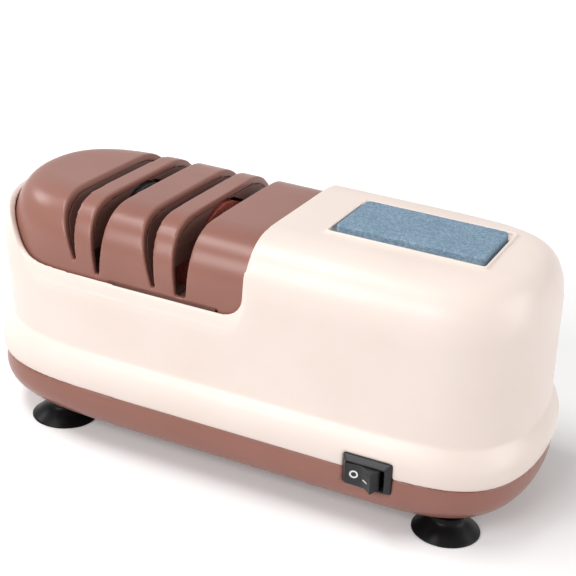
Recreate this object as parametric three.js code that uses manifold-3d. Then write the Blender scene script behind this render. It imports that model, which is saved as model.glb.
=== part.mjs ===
// Electric knife sharpener: a two part plastic shell on four suction cups, a slotted guide
// cover over two grinding wheels on a motor driven spindle, a whetstone let into the top and
// a rocker switch in the front. Millimetres, +X along the length, +Z up.
import * as THREE from 'three';
import { mergeVertices } from 'three/addons/utils/BufferGeometryUtils.js';
import Module from 'manifold-3d';

const wasm = await Module();
wasm.setup();

// Clearances and small common values
const fitGap = 0.3;
const seamGap = 0.3;
const cutOverrun = 6;
const weldTolerance = 0.0001;
const roundSides = 18;
const postSides = 10;
const holeSides = 8;
const cupSides = 20;
const wheelSides = 28;
const outlineSteps = 48;

// Plan outline of the shell where housing and base meet
const halfLength = 118.5;
const halfWidth = 54.5;
const leftEndShare = 6.2;
const rightEndShare = 8.66;
const sideShare = 2.19;
const leftTopShare = 8;
const leftLean = 5;

// Places and lengths along the body, as shares of half its length
const along = {
  windowRightShare: 0.0405, rimStartShare: -0.7089, rimEndShare: -0.9789, deckLeftEndShare: -0.7764,
  deckLipStartShare: -0.454, deckLipEndShare: -0.0557, wheelClearHalfShare: 0.0591,
  stoneLeftShare: 0.2312, stoneLengthShare: 0.508, spindleLeftShare: -0.8692,
  spindleRightShare: -0.0084, coarseWheelXShare: -0.2574, fineWheelXShare: -0.5654,
  innerBearingXShare: -0.1055, outerBearingXShare: -0.8143, couplingLeftShare: -0.0675,
  couplingRightShare: 0.0675, motorShaftLeftShare: 0.0194, canLeftShare: 0.1181, canRightShare: 0.6076,
  armatureLeftShare: 0.2025, armatureRightShare: 0.4726, commutatorLeftShare: 0.5063,
  commutatorRightShare: 0.557, cradleLeftShare: 0.1688, cradleRightShare: 0.4641,
  cradleRibLeftShare: 0.1857, cradleRibRightShare: 0.4051, cupLeftXShare: -0.6776,
  cupRightXShare: 0.7747, postLeftXShare: -0.4388, postRightXShare: 0.2869, switchXShare: 0.5401,
  inletXShare: 0.5401, boardLeftShare: 0.6751, boardRightShare: 0.903, boardRibLeftShare: 0.692,
  boardRibRightShare: 0.8354, rectifierXShare: 0.7426, capacitorXShare: 0.8354,
};

// Heights of the tray above the feet, and of the border between tray and housing
const cupHeight = 8.2;
const trayStraight = 5.1;
const trayHullRadius = 12.5;
const trayWall = 2.5;
const trayBottom = cupHeight + fitGap;
const trayFloorTop = trayBottom + trayWall;
const borderHeight = trayBottom + trayHullRadius + trayStraight + seamGap;

// Upper housing, with the heights that follow its top as shares of it
const housingTopHeight = 103.6;
const upward = {
  wallTopHeightShare: 0.7239, windowBottomHeightShare: 0.6969, rimRiseShare: 0.1863,
  slotTopShare: 0.9846, deckBottomShare: 0.6834, axisHeightShare: 0.6274, wheelRadiusShare: 0.3089,
  canRadiusShare: 0.2124, postTopShare: 0.5792,
};
const housingWall = 2.5;
const skirtHeight = 15.4;
const creaseHeight = borderHeight + skirtHeight;
const creaseInset = 3.07;
const innerSkirtDrop = 5.8;
const wallTopHeight = housingTopHeight * upward.wallTopHeightShare;
const wallTopInset = 4.5;
const shoulderAcross = 28.5;
const shoulderAtEnds = 20;
const innerShoulderAtEnds = 15;
const shoulderRiseShare = 2.6;
const shoulderRoundShare = 3.2;
const skirtShares = [[0, 0], [0.08, -0.14], [0.2, -0.25], [0.33, -0.29], [0.5, -0.22], [0.66, 0.02],
  [0.8, 0.33], [0.92, 0.68], [1, 1]];
const shoulderShares = [0.25, 0.45, 0.6, 0.72, 0.82, 0.9, 0.955, 0.99, 1];
const innerShoulderShares = [0.45, 0.6, 0.72, 0.9, 0.985, 1];
const coverShoulderShares = [0.45, 0.72, 0.9, 0.985, 1];

// Window of the housing over the wheels, and the soft sill below it
const windowRight = halfLength * along.windowRightShare;
const windowCornerRadius = 8;
const windowBottomHeight = housingTopHeight * upward.windowBottomHeightShare;
const sillDrop = 8;
const sillSpread = 3.2;
const sillOuterInset = 4;
const sillInnerInset = 8;
const rimStart = halfLength * along.rimStartShare;
const rimEnd = halfLength * along.rimEndShare;
const rimRise = housingTopHeight * upward.rimRiseShare;
const sillShares = [0, 0.35, 0.65, 0.85, 0.95, 1];
const rimShares = [[0, 0, 1], [0.22, 0.06, 0.7], [0.38, 0.24, 0.4], [0.52, 0.5, 0.15], [0.68, 0.75, 0],
  [0.84, 0.93, 0], [1, 1, 0]];
const sillBendShare = 1.25;
const windowOverrun = 12;

// Inner ledge that the guide cover stands on
const ledgeDrop = 5.6;
const ledgeDepth = 3.4;
const ledgeThickness = 2.6;

// Base tray
const trayInset = 0.4;
const lipWidth = 1.8;
const lipHeight = 3.6;
const lipRoot = 0.8;
const hullTurnShares = [0.2, 0.4, 0.6, 0.8, 1];
const innerHullTurnShares = [0.34, 0.67, 1];

// Guide cover with its four slots, two beside each wheel
const coverInset = 7.4;
const coverWall = 2.2;
const coverDrop = 3.1;
const coverTopHeight = housingTopHeight - coverDrop;
const coverShoulderAcross = 27.4;
const coverShoulderEnd = 13;
const coverTuck = 3.2;
const slotShares = [
  [-0.5899, -0.5823, 0.7394, -0.6895, -0.6236],
  [-0.5063, -0.492, 0.7104, -0.5612, -0.492],
  [-0.2928, -0.2802, 0.7162, -0.3764, -0.3181],
  [-0.2051, -0.1662, 0.7085, -0.2464, -0.1662],
];
const slotTop = housingTopHeight * upward.slotTopShare;

// Guide frame below the cover, with the inner walls of the slots
const deckBottom = housingTopHeight * upward.deckBottomShare;
const deckThickness = 1.8;
const guideWall = 1.6;
const deckRailGap = 2;
const deckLeftEnd = halfLength * along.deckLeftEndShare;
const deckLipStart = halfLength * along.deckLipStartShare;
const deckLipEnd = halfLength * along.deckLipEndShare;
const deckLipInset = 7.5;
const notchWidth = 1.1;
const wheelClear = 1.5;
const wheelClearHalf = halfLength * along.wheelClearHalfShare;

// Whetstone and its recess in the housing top
const stoneLeft = halfLength * along.stoneLeftShare;
const stoneLength = halfLength * along.stoneLengthShare;
const stoneHalfWidth = 17.3;
const stoneHeight = 7.4;
const stoneProud = 2.47;
const stoneEdge = 0.5;
const recessMarginX = 1.3;
const recessMarginY = 3.4;
const recessDepth = 1.2;
const recessLip = 1;
const recessLipRise = 0.5;
const recessFloor = 2;

// Spindle with the two grinding wheels
const axisHeight = housingTopHeight * upward.axisHeightShare;
const spindleRadius = 4;
const spindleLeft = halfLength * along.spindleLeftShare;
const spindleRight = halfLength * along.spindleRightShare;
const coarseWheelX = halfLength * along.coarseWheelXShare;
const fineWheelX = halfLength * along.fineWheelXShare;
const wheelRadius = housingTopHeight * upward.wheelRadiusShare;
const deckRailInner = wheelRadius + deckRailGap;
const wheelRimHalf = 3;
const wheelHubHalf = 5;
const wheelHubRadius = 11;
const fineWheelRidges = 5;
const ridgeDepth = 0.5;
const collarRadius = 5.4;
const collarWidth = 3;
const nutAcross = 13;
const nutWidth = 6;

// Bearings and their brackets
const bearingRadius = 8;
const bearingWidth = 6;
const innerBearingX = halfLength * along.innerBearingXShare;
const outerBearingX = halfLength * along.outerBearingXShare;
const bracketThickness = 3;
const bracketHalfWidth = 18;
const bracketRim = 3.2;
const bracketFoot = 12;
const bracketFootThickness = 3;
const bracketScrewOffset = 13;
const bracketScrewReach = 5.5;

// Motor and coupling
const couplingRadius = 8;
const couplingLeft = halfLength * along.couplingLeftShare;
const couplingRight = halfLength * along.couplingRightShare;
const motorShaftRadius = 2.5;
const motorShaftLeft = halfLength * along.motorShaftLeftShare;
const canLeft = halfLength * along.canLeftShare;
const canRight = halfLength * along.canRightShare;
const canRadius = housingTopHeight * upward.canRadiusShare;
const canWall = 1.5;
const capThickness = 4;
const capSpigot = 3;
const armatureLeft = halfLength * along.armatureLeftShare;
const armatureRight = halfLength * along.armatureRightShare;
const commutatorRadius = 6;
const commutatorLeft = halfLength * along.commutatorLeftShare;
const commutatorRight = halfLength * along.commutatorRightShare;
const magnetThickness = 4.2;
const armatureGap = 1.4;
const armatureRadius = canRadius - canWall - fitGap - magnetThickness - armatureGap;
const magnetHalfTurnShare = 0.15;

// Motor cradle and straps
const cradleLeft = halfLength * along.cradleLeftShare;
const cradleRight = halfLength * along.cradleRightShare;
const cradleReach = 12;
const cradleHalfWidth = canRadius + cradleReach;
const cradleFootReach = 8;
const cradleFootHalf = canRadius + cradleFootReach;
const cradleFootThickness = 3;
const cradleRib = 4;
const cradleRibLeft = halfLength * along.cradleRibLeftShare;
const cradleRibRight = halfLength * along.cradleRibRightShare;
const strapThickness = 1.5;
const strapScrewReach = 7;
const strapScrewY = canRadius + strapScrewReach;

// Feet
const cupRimRadius = 13.5;
const cupBoreShare = 0.6;
const cupShares = [[0, 0.4545], [0.504, 0.385], [0.92, 0], [1, 0], [1, 0.0915], [0.76, 0.4], [0.534, 0.72],
  [0.504, 0.8], [0.504, 1], [0, 1]];
const cupLeftX = halfLength * along.cupLeftXShare;
const cupRightX = halfLength * along.cupRightXShare;
const cupSideInset = 20;
const cupY = halfWidth - cupSideInset;
const cupBossRadius = 7.6;

// Screws
const screwRadius = 1.6;
const screwHeadRadius = 3;
const screwHeadHeight = 2;
const screwSlotWidth = 0.8;
const screwSlotDepth = 0.8;
const screwTipShare = 0.7;
const screwHeadEdgeShare = 0.6;
const screwCrownShare = 0.7;
const postRadius = 4.4;
const postInset = 8.6;
const postLeftX = halfLength * along.postLeftXShare;
const postRightX = halfLength * along.postRightXShare;
const postTop = housingTopHeight * upward.postTopShare;
const housingScrewLift = 4.5;
const housingScrewHead = trayFloorTop + housingScrewLift;
const housingScrewReach = 26;

// Rocker switch, tilted with the front of the shell
const switchX = halfLength * along.switchXShare;
const switchDrop = 0.3;
const switchHeight = borderHeight - switchDrop;
const switchInset = 0.9;
const switchTiltDegrees = 9.2;
const bezelHalfLength = 9.8;
const bezelHalfHeight = 6.9;
const bezelThickness = 3;
const bezelEdge = 1;
const bezelCorner = 0.6;
const wellHalfLength = 7.6;
const wellHalfHeight = 4.95;
const wellLand = 0.6;
const wellDepth = 8.2;
const switchBodyHalfLength = 8.9;
const switchBodyHalfHeight = 5.95;
const switchBodyDepth = 14;
const rockerPivotDepth = 5;
const rockerTurnDegrees = 14;
const rockerTopHalf = 5.5;
const rockerTopRise = 7.6;
const rockerMiddleRise = 5.8;
const rockerFootHalf = 6.7;
const rockerFootRise = 3;
const rockerHeelHalf = 2.5;
const rockerHeelDrop = 2;
const rockerPinRadius = 1;
const rockerPinLength = 0.8;
const terminalWidth = 4.8;
const terminalThickness = 0.8;
const terminalLength = 7;
const terminalSpacing = 5;

// Power inlet in the back wall
const inletX = halfLength * along.inletXShare;
const inletRiseShare = 0.3976;
const inletHeight = creaseHeight + (wallTopHeight - creaseHeight) * inletRiseShare;
const inletHalfLength = 12.5;
const inletHalfHeight = 8.6;
const inletFlange = 2;
const inletCorner = 3.2;
const inletBodyHalfLength = 9.6;
const inletBodyHalfHeight = 5.8;
const inletBodyDepth = 16;
const inletMouthHalfLength = 7.8;
const inletMouthHalfHeight = 4;
const inletMouthDepth = 13;
const inletPinRadius = 1.2;
const inletPinSpacing = 4.3;
const inletPinLength = 17;

// Circuit board and leads
const boardLeft = halfLength * along.boardLeftShare;
const boardRight = halfLength * along.boardRightShare;
const boardHalfWidth = 20;
const boardLift = 7;
const boardHeight = trayFloorTop + boardLift;
const boardThickness = 1.6;
const boardRibHalf = 16;
const boardRibWidth = 3;
const boardRibLeft = halfLength * along.boardRibLeftShare;
const boardRibRight = halfLength * along.boardRibRightShare;
const rectifierSize = [11, 4, 9];
const rectifierX = halfLength * along.rectifierXShare;
const rectifierY = -9;
const capacitorRadius = 5;
const capacitorHeight = 13;
const capacitorX = halfLength * along.capacitorXShare;
const capacitorY = 8;
const leadRadius = 0.9;
const leadSides = 6;
const leadGap = 0.4;
const leadStub = 4;
const leadReachShare = 0.7;
const pinStubShare = 0.32;

// Geometry helpers
function toSolid(geometry) {
  const bare = geometry.clone();
  bare.deleteAttribute('normal');
  bare.deleteAttribute('uv');
  const merged = mergeVertices(bare, weldTolerance);
  const index = Array.from(merged.index.array);
  const kept = [];
  for (let i = 0; i < index.length; i += 3) {
    const [a, b, c] = index.slice(i, i + 3);
    if (a !== b && b !== c && c !== a) kept.push(a, b, c);
  }
  const mesh = new wasm.Mesh({
    numProp: 3,
    vertProperties: new Float32Array(merged.attributes.position.array),
    triVerts: new Uint32Array(kept),
  });
  return new wasm.Manifold(mesh);
}

function toGeometry(solid) {
  const mesh = solid.getMesh();
  const geometry = new THREE.BufferGeometry();
  geometry.setAttribute('position', new THREE.BufferAttribute(new Float32Array(mesh.vertProperties), 3));
  geometry.setIndex(Array.from(mesh.triVerts));
  geometry.computeVertexNormals();
  return geometry;
}

function join(...solids) {
  return solids.reduce((sum, solid) => sum.add(solid));
}

function cut(solid, ...cutters) {
  return cutters.reduce((rest, cutter) => rest.subtract(cutter), solid);
}

function block(x0, x1, y0, y1, z0, z1) {
  const geometry = new THREE.BoxGeometry(x1 - x0, y1 - y0, z1 - z0);
  geometry.translate((x0 + x1) / 2, (y0 + y1) / 2, (z0 + z1) / 2);
  return toSolid(geometry);
}

const lengthwise = new THREE.Matrix4().makeBasis(
  new THREE.Vector3(0, 1, 0), new THREE.Vector3(0, 0, 1), new THREE.Vector3(1, 0, 0));
const crosswise = new THREE.Matrix4().makeBasis(
  new THREE.Vector3(0, 0, 1), new THREE.Vector3(1, 0, 0), new THREE.Vector3(0, 1, 0));

function extruded(outline, start, end) {
  const shape = new THREE.Shape(outline.map(([u, v]) => new THREE.Vector2(u, v)));
  const geometry = new THREE.ExtrudeGeometry(shape, { depth: end - start, bevelEnabled: false });
  geometry.translate(0, 0, start);
  return geometry;
}

// Prism along X from points (y, z)
function prismX(outline, start, end) {
  return toSolid(extruded(outline, start, end).applyMatrix4(lengthwise));
}

// Prism along Y from points (x, z)
function prismY(outline, start, end) {
  return toSolid(extruded(outline.map(([x, z]) => [z, x]), start, end).applyMatrix4(crosswise));
}

// Prism along Z from points (x, y)
function prismZ(outline, start, end) {
  return toSolid(extruded(outline, start, end));
}

// Turned body about an axis along X, from points (radius, x)
function turnedX(profile, y, z, sides = roundSides) {
  const geometry = new THREE.LatheGeometry(profile.map(([r, h]) => new THREE.Vector2(r, h)), sides);
  geometry.rotateZ(-Math.PI / 2);
  geometry.translate(0, y, z);
  return toSolid(geometry);
}

// Turned body about an axis along Z, from points (radius, z)
function turnedZ(profile, x, y, sides = roundSides) {
  const geometry = new THREE.LatheGeometry(profile.map(([r, h]) => new THREE.Vector2(r, h)), sides);
  geometry.rotateX(Math.PI / 2);
  geometry.translate(x, y, 0);
  return toSolid(geometry);
}

function rodX(radius, x0, x1, y, z, sides = roundSides) {
  return turnedX([[0, x0], [radius, x0], [radius, x1], [0, x1]], y, z, sides);
}

function rodZ(radius, z0, z1, x, y, sides = roundSides) {
  return turnedZ([[0, z0], [radius, z0], [radius, z1], [0, z1]], x, y, sides);
}

function signedPower(value, power) {
  return Math.sign(value) * Math.abs(value) ** power;
}

// The left end leans outwards and gets squarer from the crease up to the shoulder
function leanShare(z) {
  return Math.min(Math.max((z - creaseHeight) / (wallTopHeight - creaseHeight), 0), 1);
}

function leftPower(z) {
  return leftEndShare + (leftTopShare - leftEndShare) * leanShare(z);
}

// One ring of the plan outline, drawn in by an inset at the ends and one at the sides
function planRing(z, insetX, insetY = insetX) {
  const ring = [];
  for (let i = 0; i < outlineSteps; i += 1) {
    const turn = (2 * Math.PI * i) / outlineSteps;
    const c = Math.abs(Math.cos(turn)) < 1e-9 ? 0 : Math.cos(turn);
    const s = Math.abs(Math.sin(turn)) < 1e-9 ? 0 : Math.sin(turn);
    const endShare = c < 0 ? leftPower(z) : rightEndShare;
    const reach = halfLength - insetX + (c < 0 ? leftLean * leanShare(z) : 0);
    const x = reach * signedPower(c, 2 / endShare);
    const y = (halfWidth - insetY) * signedPower(s, 2 / sideShare);
    ring.push(new THREE.Vector3(x, y, z));
  }
  return ring;
}

// Half width of the plan outline at one place along the length
function planHalfWidth(x, inset, z = borderHeight) {
  const endShare = x < 0 ? leftPower(z) : rightEndShare;
  const reach = halfLength - inset + (x < 0 ? leftLean * leanShare(z) : 0);
  const room = 1 - Math.abs(x / reach) ** endShare;
  return (halfWidth - inset) * Math.max(room, 0.02) ** (1 / sideShare);
}

// Closed body through rings of equal point counts, with a fan over each end
function ringBody(rings) {
  const count = rings[0].length;
  const middles = [rings[0], rings[rings.length - 1]].map((ring) => ring.reduce(
    (sum, point) => sum.addScaledVector(point, 1 / ring.length), new THREE.Vector3()));
  const points = rings.flat().concat(middles);
  const first = points.length - 2;
  const triangles = [];
  for (let k = 0; k < rings.length - 1; k += 1) {
    for (let i = 0; i < count; i += 1) {
      const j = (i + 1) % count;
      const [a, b] = [k * count + i, k * count + j];
      triangles.push(a, b, b + count, a, b + count, a + count);
    }
  }
  const top = (rings.length - 1) * count;
  for (let i = 0; i < count; i += 1) {
    const j = (i + 1) % count;
    triangles.push(first, j, i, first + 1, top + i, top + j);
  }
  let volume = 0;
  for (let t = 0; t < triangles.length; t += 3) {
    const [a, b, c] = [points[triangles[t]], points[triangles[t + 1]], points[triangles[t + 2]]];
    volume += a.dot(new THREE.Vector3().crossVectors(b, c));
  }
  if (volume < 0) triangles.reverse();
  const geometry = new THREE.BufferGeometry();
  const flat = points.flatMap((point) => [point.x, point.y, point.z]);
  geometry.setAttribute('position', new THREE.BufferAttribute(new Float32Array(flat), 3));
  geometry.setIndex(triangles);
  return toSolid(geometry);
}

// Rings of a rounded shoulder that rises from one height to another
function shoulderRings(bottom, top, inset, atEnds, across, shares = shoulderShares) {
  return shares.map((share) => {
    const drawn = 1 - (1 - share ** shoulderRiseShare) ** (1 / shoulderRoundShare);
    return planRing(bottom + (top - bottom) * share, inset + atEnds * drawn, inset + across * drawn);
  });
}

function rectangle(halfU, halfV, corner) {
  return [[-halfU + corner, -halfV], [halfU - corner, -halfV], [halfU, -halfV + corner],
    [halfU, halfV - corner], [halfU - corner, halfV], [-halfU + corner, halfV],
    [-halfU, halfV - corner], [-halfU, -halfV + corner]];
}

function arc(radius, from, to, steps) {
  const points = [];
  for (let i = 0; i <= steps; i += 1) {
    const turn = from + ((to - from) * i) / steps;
    points.push([radius * Math.cos(turn), radius * Math.sin(turn)]);
  }
  return points;
}

// Scene group and materials
const sharpener = new THREE.Group();
const cream = { color: 0xf8e8e0, roughness: 0.42, metalness: 0 };
const brown = { color: 0xa07066, roughness: 0.45, metalness: 0 };
const blackRubber = { color: 0x26262a, roughness: 0.4, metalness: 0 };
const blackPlastic = { color: 0x242426, roughness: 0.5, metalness: 0 };
const steel = { color: 0xb9bcc0, roughness: 0.35, metalness: 1 };
const brass = { color: 0xc2a35c, roughness: 0.35, metalness: 1 };
const darkSteel = { color: 0x6c6f74, roughness: 0.5, metalness: 1 };
const stoneBlue = { color: 0x87a5be, roughness: 0.95, metalness: 0 };
const gritRed = { color: 0xa54b41, roughness: 0.9, metalness: 0 };
const gritBlack = { color: 0x2b2b2d, roughness: 0.85, metalness: 0 };
const boardGreen = { color: 0x2f6b45, roughness: 0.6, metalness: 0 };
const leadBlue = { color: 0x3b5a8c, roughness: 0.6, metalness: 0 };

function piece(name, solid, look, parent = sharpener) {
  const mesh = new THREE.Mesh(toGeometry(solid), new THREE.MeshStandardMaterial(look));
  mesh.name = name;
  parent.add(mesh);
  return mesh;
}

// Frame of the rocker switch: origin on the seat, +X right, -Y out of the front, +Z up
const switchGroup = new THREE.Group();
switchGroup.position.set(switchX, -(planHalfWidth(switchX, switchInset)), switchHeight);
switchGroup.rotation.x = THREE.MathUtils.degToRad(switchTiltDegrees);
switchGroup.updateMatrix();
sharpener.add(switchGroup);

function switchCutter(halfX, halfZ, y0, y1) {
  const geometry = new THREE.BoxGeometry(2 * halfX, y1 - y0, 2 * halfZ);
  geometry.translate(0, (y0 + y1) / 2, 0);
  return toSolid(geometry.applyMatrix4(switchGroup.matrix));
}

const switchSeat = switchCutter(bezelHalfLength + fitGap, bezelHalfHeight + fitGap, -cutOverrun, fitGap);
const switchHole = switchCutter(switchBodyHalfLength + fitGap, switchBodyHalfHeight + fitGap,
  -cutOverrun, switchBodyDepth);

// Upper housing
const housingOuter = ringBody([
  ...skirtShares.map(([rise, inset]) => planRing(borderHeight + skirtHeight * rise, creaseInset * inset)),
  planRing(wallTopHeight, wallTopInset),
  ...shoulderRings(wallTopHeight, housingTopHeight, wallTopInset, shoulderAtEnds, shoulderAcross),
]);
const housingInner = ringBody([
  planRing(borderHeight - cutOverrun, housingWall),
  planRing(creaseHeight - innerSkirtDrop, housingWall),
  planRing(creaseHeight, creaseInset + housingWall),
  planRing(wallTopHeight, wallTopInset + housingWall),
  ...shoulderRings(wallTopHeight, housingTopHeight - housingWall, wallTopInset + housingWall,
    innerShoulderAtEnds, shoulderAcross, innerShoulderShares),
]);

// Window cutter: one outline per place across the body, spreading towards the outside as a sill
const cutterEnd = halfLength + leftLean + cutOverrun;
function windowRing(side, inset, spread) {
  const centreX = windowRight - windowCornerRadius;
  const centreZ = windowBottomHeight + windowCornerRadius;
  const radiusX = windowCornerRadius + sillSpread * spread;
  const radiusZ = windowCornerRadius + sillDrop * spread;
  const outline = rimShares.map(([along, rise, drop]) => [
    rimStart + (rimEnd - rimStart) * along,
    windowBottomHeight + rimRise * rise - sillDrop * spread * drop]).reverse();
  for (let i = 0; i <= 6; i += 1) {
    const turn = (Math.PI / 2) * (i / 6);
    outline.push([centreX + radiusX * Math.sin(turn), centreZ - radiusZ * Math.cos(turn)]);
  }
  outline.push([centreX + radiusX, housingTopHeight + cutOverrun]);
  outline.push([-cutterEnd, housingTopHeight + cutOverrun], [-cutterEnd, windowBottomHeight + rimRise]);
  return outline.map(([x, z]) => new THREE.Vector3(x, side * planHalfWidth(x, inset, z), z));
}

const sillInsets = sillShares.map((share) => sillInnerInset + (sillOuterInset - sillInnerInset) * share);
const sillSpreads = sillShares.map((share) => share ** sillBendShare);
const frontRings = sillInsets.map((inset, i) => windowRing(-1, inset, sillSpreads[i])).reverse();
const backRings = sillInsets.map((inset, i) => windowRing(1, inset, sillSpreads[i]));
const windowCutter = ringBody([
  windowRing(-1, -windowOverrun, 1), ...frontRings, ...backRings, windowRing(1, -windowOverrun, 1)]);

const ledgeTop = windowBottomHeight - ledgeDrop;
const ledgeOuter = ringBody([planRing(ledgeTop - ledgeThickness, creaseInset + housingWall / 2),
  planRing(ledgeTop, creaseInset + housingWall / 2)]);
const ledgeInner = ringBody([planRing(ledgeTop - ledgeThickness - cutOverrun, coverInset + ledgeDepth),
  planRing(ledgeTop + cutOverrun, coverInset + ledgeDepth)]);
const ledge = cut(ledgeOuter, ledgeInner,
  block(windowRight + coverTuck, halfLength, -halfWidth, halfWidth, borderHeight, housingTopHeight));

// Recess of the whetstone
const stoneRight = stoneLeft + stoneLength;
const stoneTop = housingTopHeight + stoneProud;
const stoneBottom = stoneTop - stoneHeight;
const recessHalfWidth = stoneHalfWidth + recessMarginY;
const recessLeft = stoneLeft - recessMarginX;
const recessRight = stoneRight + recessMarginX;
const recessBase = stoneBottom - fitGap - recessFloor;
const recessWall = block(recessLeft - recessLip, recessRight + recessLip,
  -recessHalfWidth - recessLip, recessHalfWidth + recessLip, recessBase, housingTopHeight + recessLipRise);
const recessShallow = block(recessLeft, recessRight, -recessHalfWidth, recessHalfWidth,
  housingTopHeight - recessDepth, housingTopHeight + cutOverrun);
const recessPocket = block(stoneLeft - fitGap, stoneRight + fitGap, -stoneHalfWidth - fitGap,
  stoneHalfWidth + fitGap, stoneBottom - fitGap, housingTopHeight + cutOverrun);

// Screw posts between tray and housing
const lipTop = borderHeight + lipHeight;
const postPlaces = [[postLeftX, -1], [postLeftX, 1], [postRightX, -1], [postRightX, 1]].map(
  ([x, side]) => [x, side * planHalfWidth(x, postInset)]);
const housingPosts = postPlaces.map(([x, y]) => rodZ(postRadius, lipTop + fitGap, postTop, x, y, postSides));
const postHoles = postPlaces.map(([x, y]) => rodZ(screwRadius + fitGap, borderHeight,
  housingScrewHead + screwHeadHeight + housingScrewReach + fitGap, x, y, holeSides));

// Inlet opening in the back wall
const inletLow = inletHeight - inletHalfHeight;
const skirtBulge = Math.min(...skirtShares.map(([, inset]) => inset)) * creaseInset;
const inletWallInset = inletLow < creaseHeight ? skirtBulge : creaseInset
  + ((wallTopInset - creaseInset) * (inletLow - creaseHeight)) / (wallTopHeight - creaseHeight);
const inletWallY = planHalfWidth(inletX, inletWallInset);
const inletHole = block(inletX - inletBodyHalfLength - fitGap, inletX + inletBodyHalfLength + fitGap,
  0, halfWidth + cutOverrun, inletHeight - inletBodyHalfHeight - fitGap,
  inletHeight + inletBodyHalfHeight + fitGap);

const housing = cut(
  join(cut(housingOuter, housingInner, windowCutter), ledge, recessWall, ...housingPosts),
  recessShallow, recessPocket, switchSeat, switchHole, inletHole, ...postHoles);
piece('upper_housing', housing, cream);

// Base tray
const hullCentre = trayBottom + trayHullRadius;
function hullRings(radius, inset, shares) {
  return shares.map((share) => {
    const turn = (Math.PI / 2) * share;
    return planRing(hullCentre - radius * Math.sin(turn), inset + radius * (1 - Math.cos(turn)));
  });
}
const trayTop = borderHeight - seamGap;
const trayOuter = ringBody([planRing(trayTop, trayInset), planRing(hullCentre, trayInset),
  ...hullRings(trayHullRadius, trayInset, hullTurnShares)]);
const trayInner = ringBody([planRing(trayTop + cutOverrun, trayInset + trayWall),
  planRing(hullCentre, trayInset + trayWall),
  ...hullRings(trayHullRadius - trayWall, trayInset + trayWall, innerHullTurnShares)]);
const lipOuterInset = housingWall + fitGap;
const lip = cut(
  ringBody([planRing(hullCentre, lipOuterInset - lipRoot), planRing(trayTop, lipOuterInset - lipRoot),
    planRing(trayTop, lipOuterInset), planRing(lipTop, lipOuterInset)]),
  ringBody([planRing(hullCentre - cutOverrun, lipOuterInset + lipWidth),
    planRing(lipTop + cutOverrun, lipOuterInset + lipWidth)]));
const cupPlaces = [[cupLeftX, -cupY], [cupRightX, -cupY], [cupRightX, cupY], [cupLeftX, cupY]];
const cupBosses = cupPlaces.map(([x, y]) => rodZ(cupBossRadius, trayBottom, trayFloorTop, x, y));
const cupHoles = cupPlaces.flatMap(([x, y]) => [
  rodZ(screwRadius + fitGap, trayBottom - cutOverrun, trayFloorTop + cutOverrun, x, y, holeSides),
  rodZ(screwHeadRadius + 2 * fitGap, trayFloorTop, trayFloorTop + cutOverrun, x, y, postSides)]);
// Room that the posts may fill: the tray's own outside, carried up past its border
const postRoom = join(trayOuter, block(-halfLength, halfLength, -halfWidth, halfWidth, hullCentre, lipTop));
const trayPosts = postPlaces.map(([x, y]) => rodZ(postRadius, trayFloorTop - trayWall / 2, lipTop,
  x, y, postSides).intersect(postRoom));
const trayPostHoles = postPlaces.flatMap(([x, y]) => [
  rodZ(screwHeadRadius + fitGap, trayBottom - cutOverrun, housingScrewHead + screwHeadHeight + fitGap,
    x, y, postSides),
  rodZ(screwRadius + fitGap, trayBottom - cutOverrun, lipTop + cutOverrun, x, y, holeSides)]);
const boardRibs = [-1, 1].map((side) => block(boardRibLeft, boardRibRight,
  side * boardRibHalf - boardRibWidth / 2, side * boardRibHalf + boardRibWidth / 2,
  trayFloorTop - trayWall / 2, boardHeight - fitGap));
const bracketXs = [innerBearingX, outerBearingX];
const bracketScrewPlaces = bracketXs.flatMap((x) => [-1, 1].map((side) => [
  x + bracketThickness / 2 + (bracketFoot - bracketThickness) / 2, side * bracketScrewOffset]));
const bracketHoles = bracketScrewPlaces.map(([x, y]) => rodZ(screwRadius + fitGap,
  trayBottom - cutOverrun, trayFloorTop + cutOverrun, x, y, holeSides));
const tray = cut(
  join(cut(trayOuter, trayInner), lip, ...cupBosses, ...trayPosts, ...boardRibs),
  ...cupHoles, ...trayPostHoles, ...bracketHoles, switchSeat, switchHole);
piece('base_tray', tray, brown);

// Guide cover
const coverBottom = ledgeTop + fitGap;
const coverRight = windowRight + coverTuck;
const coverOuter = ringBody([planRing(coverBottom, coverInset), planRing(wallTopHeight, coverInset),
  ...shoulderRings(wallTopHeight, coverTopHeight, coverInset, coverShoulderEnd, coverShoulderAcross)]);
const coverInnerRings = (gap) => [
  planRing(ledgeTop - cutOverrun, coverInset + coverWall + gap),
  planRing(wallTopHeight, coverInset + coverWall + gap),
  ...shoulderRings(wallTopHeight, coverTopHeight - coverWall - gap, coverInset + coverWall + gap,
    coverShoulderEnd, coverShoulderAcross, coverShoulderShares)];
const coverEnd = block(coverRight, halfLength, -halfWidth, halfWidth, 0, housingTopHeight);
const slotList = slotShares.map(([lowLeft, lowRight, low, topLeft, topRight]) => [
  [halfLength * lowLeft, halfLength * lowRight, housingTopHeight * low],
  [halfLength * topLeft, halfLength * topRight]]);
const slotCutters = slotList.map(([[x0, x1, z], [x2, x3]]) => prismY(
  [[x0, z], [x1, z], [x3, slotTop], [x2, slotTop]], -halfWidth, halfWidth));
const deckTop = deckBottom + deckThickness;
const lipRooms = [-1, 1].map((side) => {
  const [near, far] = [side * deckRailInner, side * halfWidth].sort((a, b) => a - b);
  return block(deckLipStart - fitGap, deckLipEnd + notchWidth, near, far,
    deckBottom - fitGap, deckTop + fitGap);
});
const cover = cut(coverOuter, ringBody(coverInnerRings(0)), coverEnd, ...slotCutters, ...lipRooms);
piece('guide_cover', cover, brown);

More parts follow.
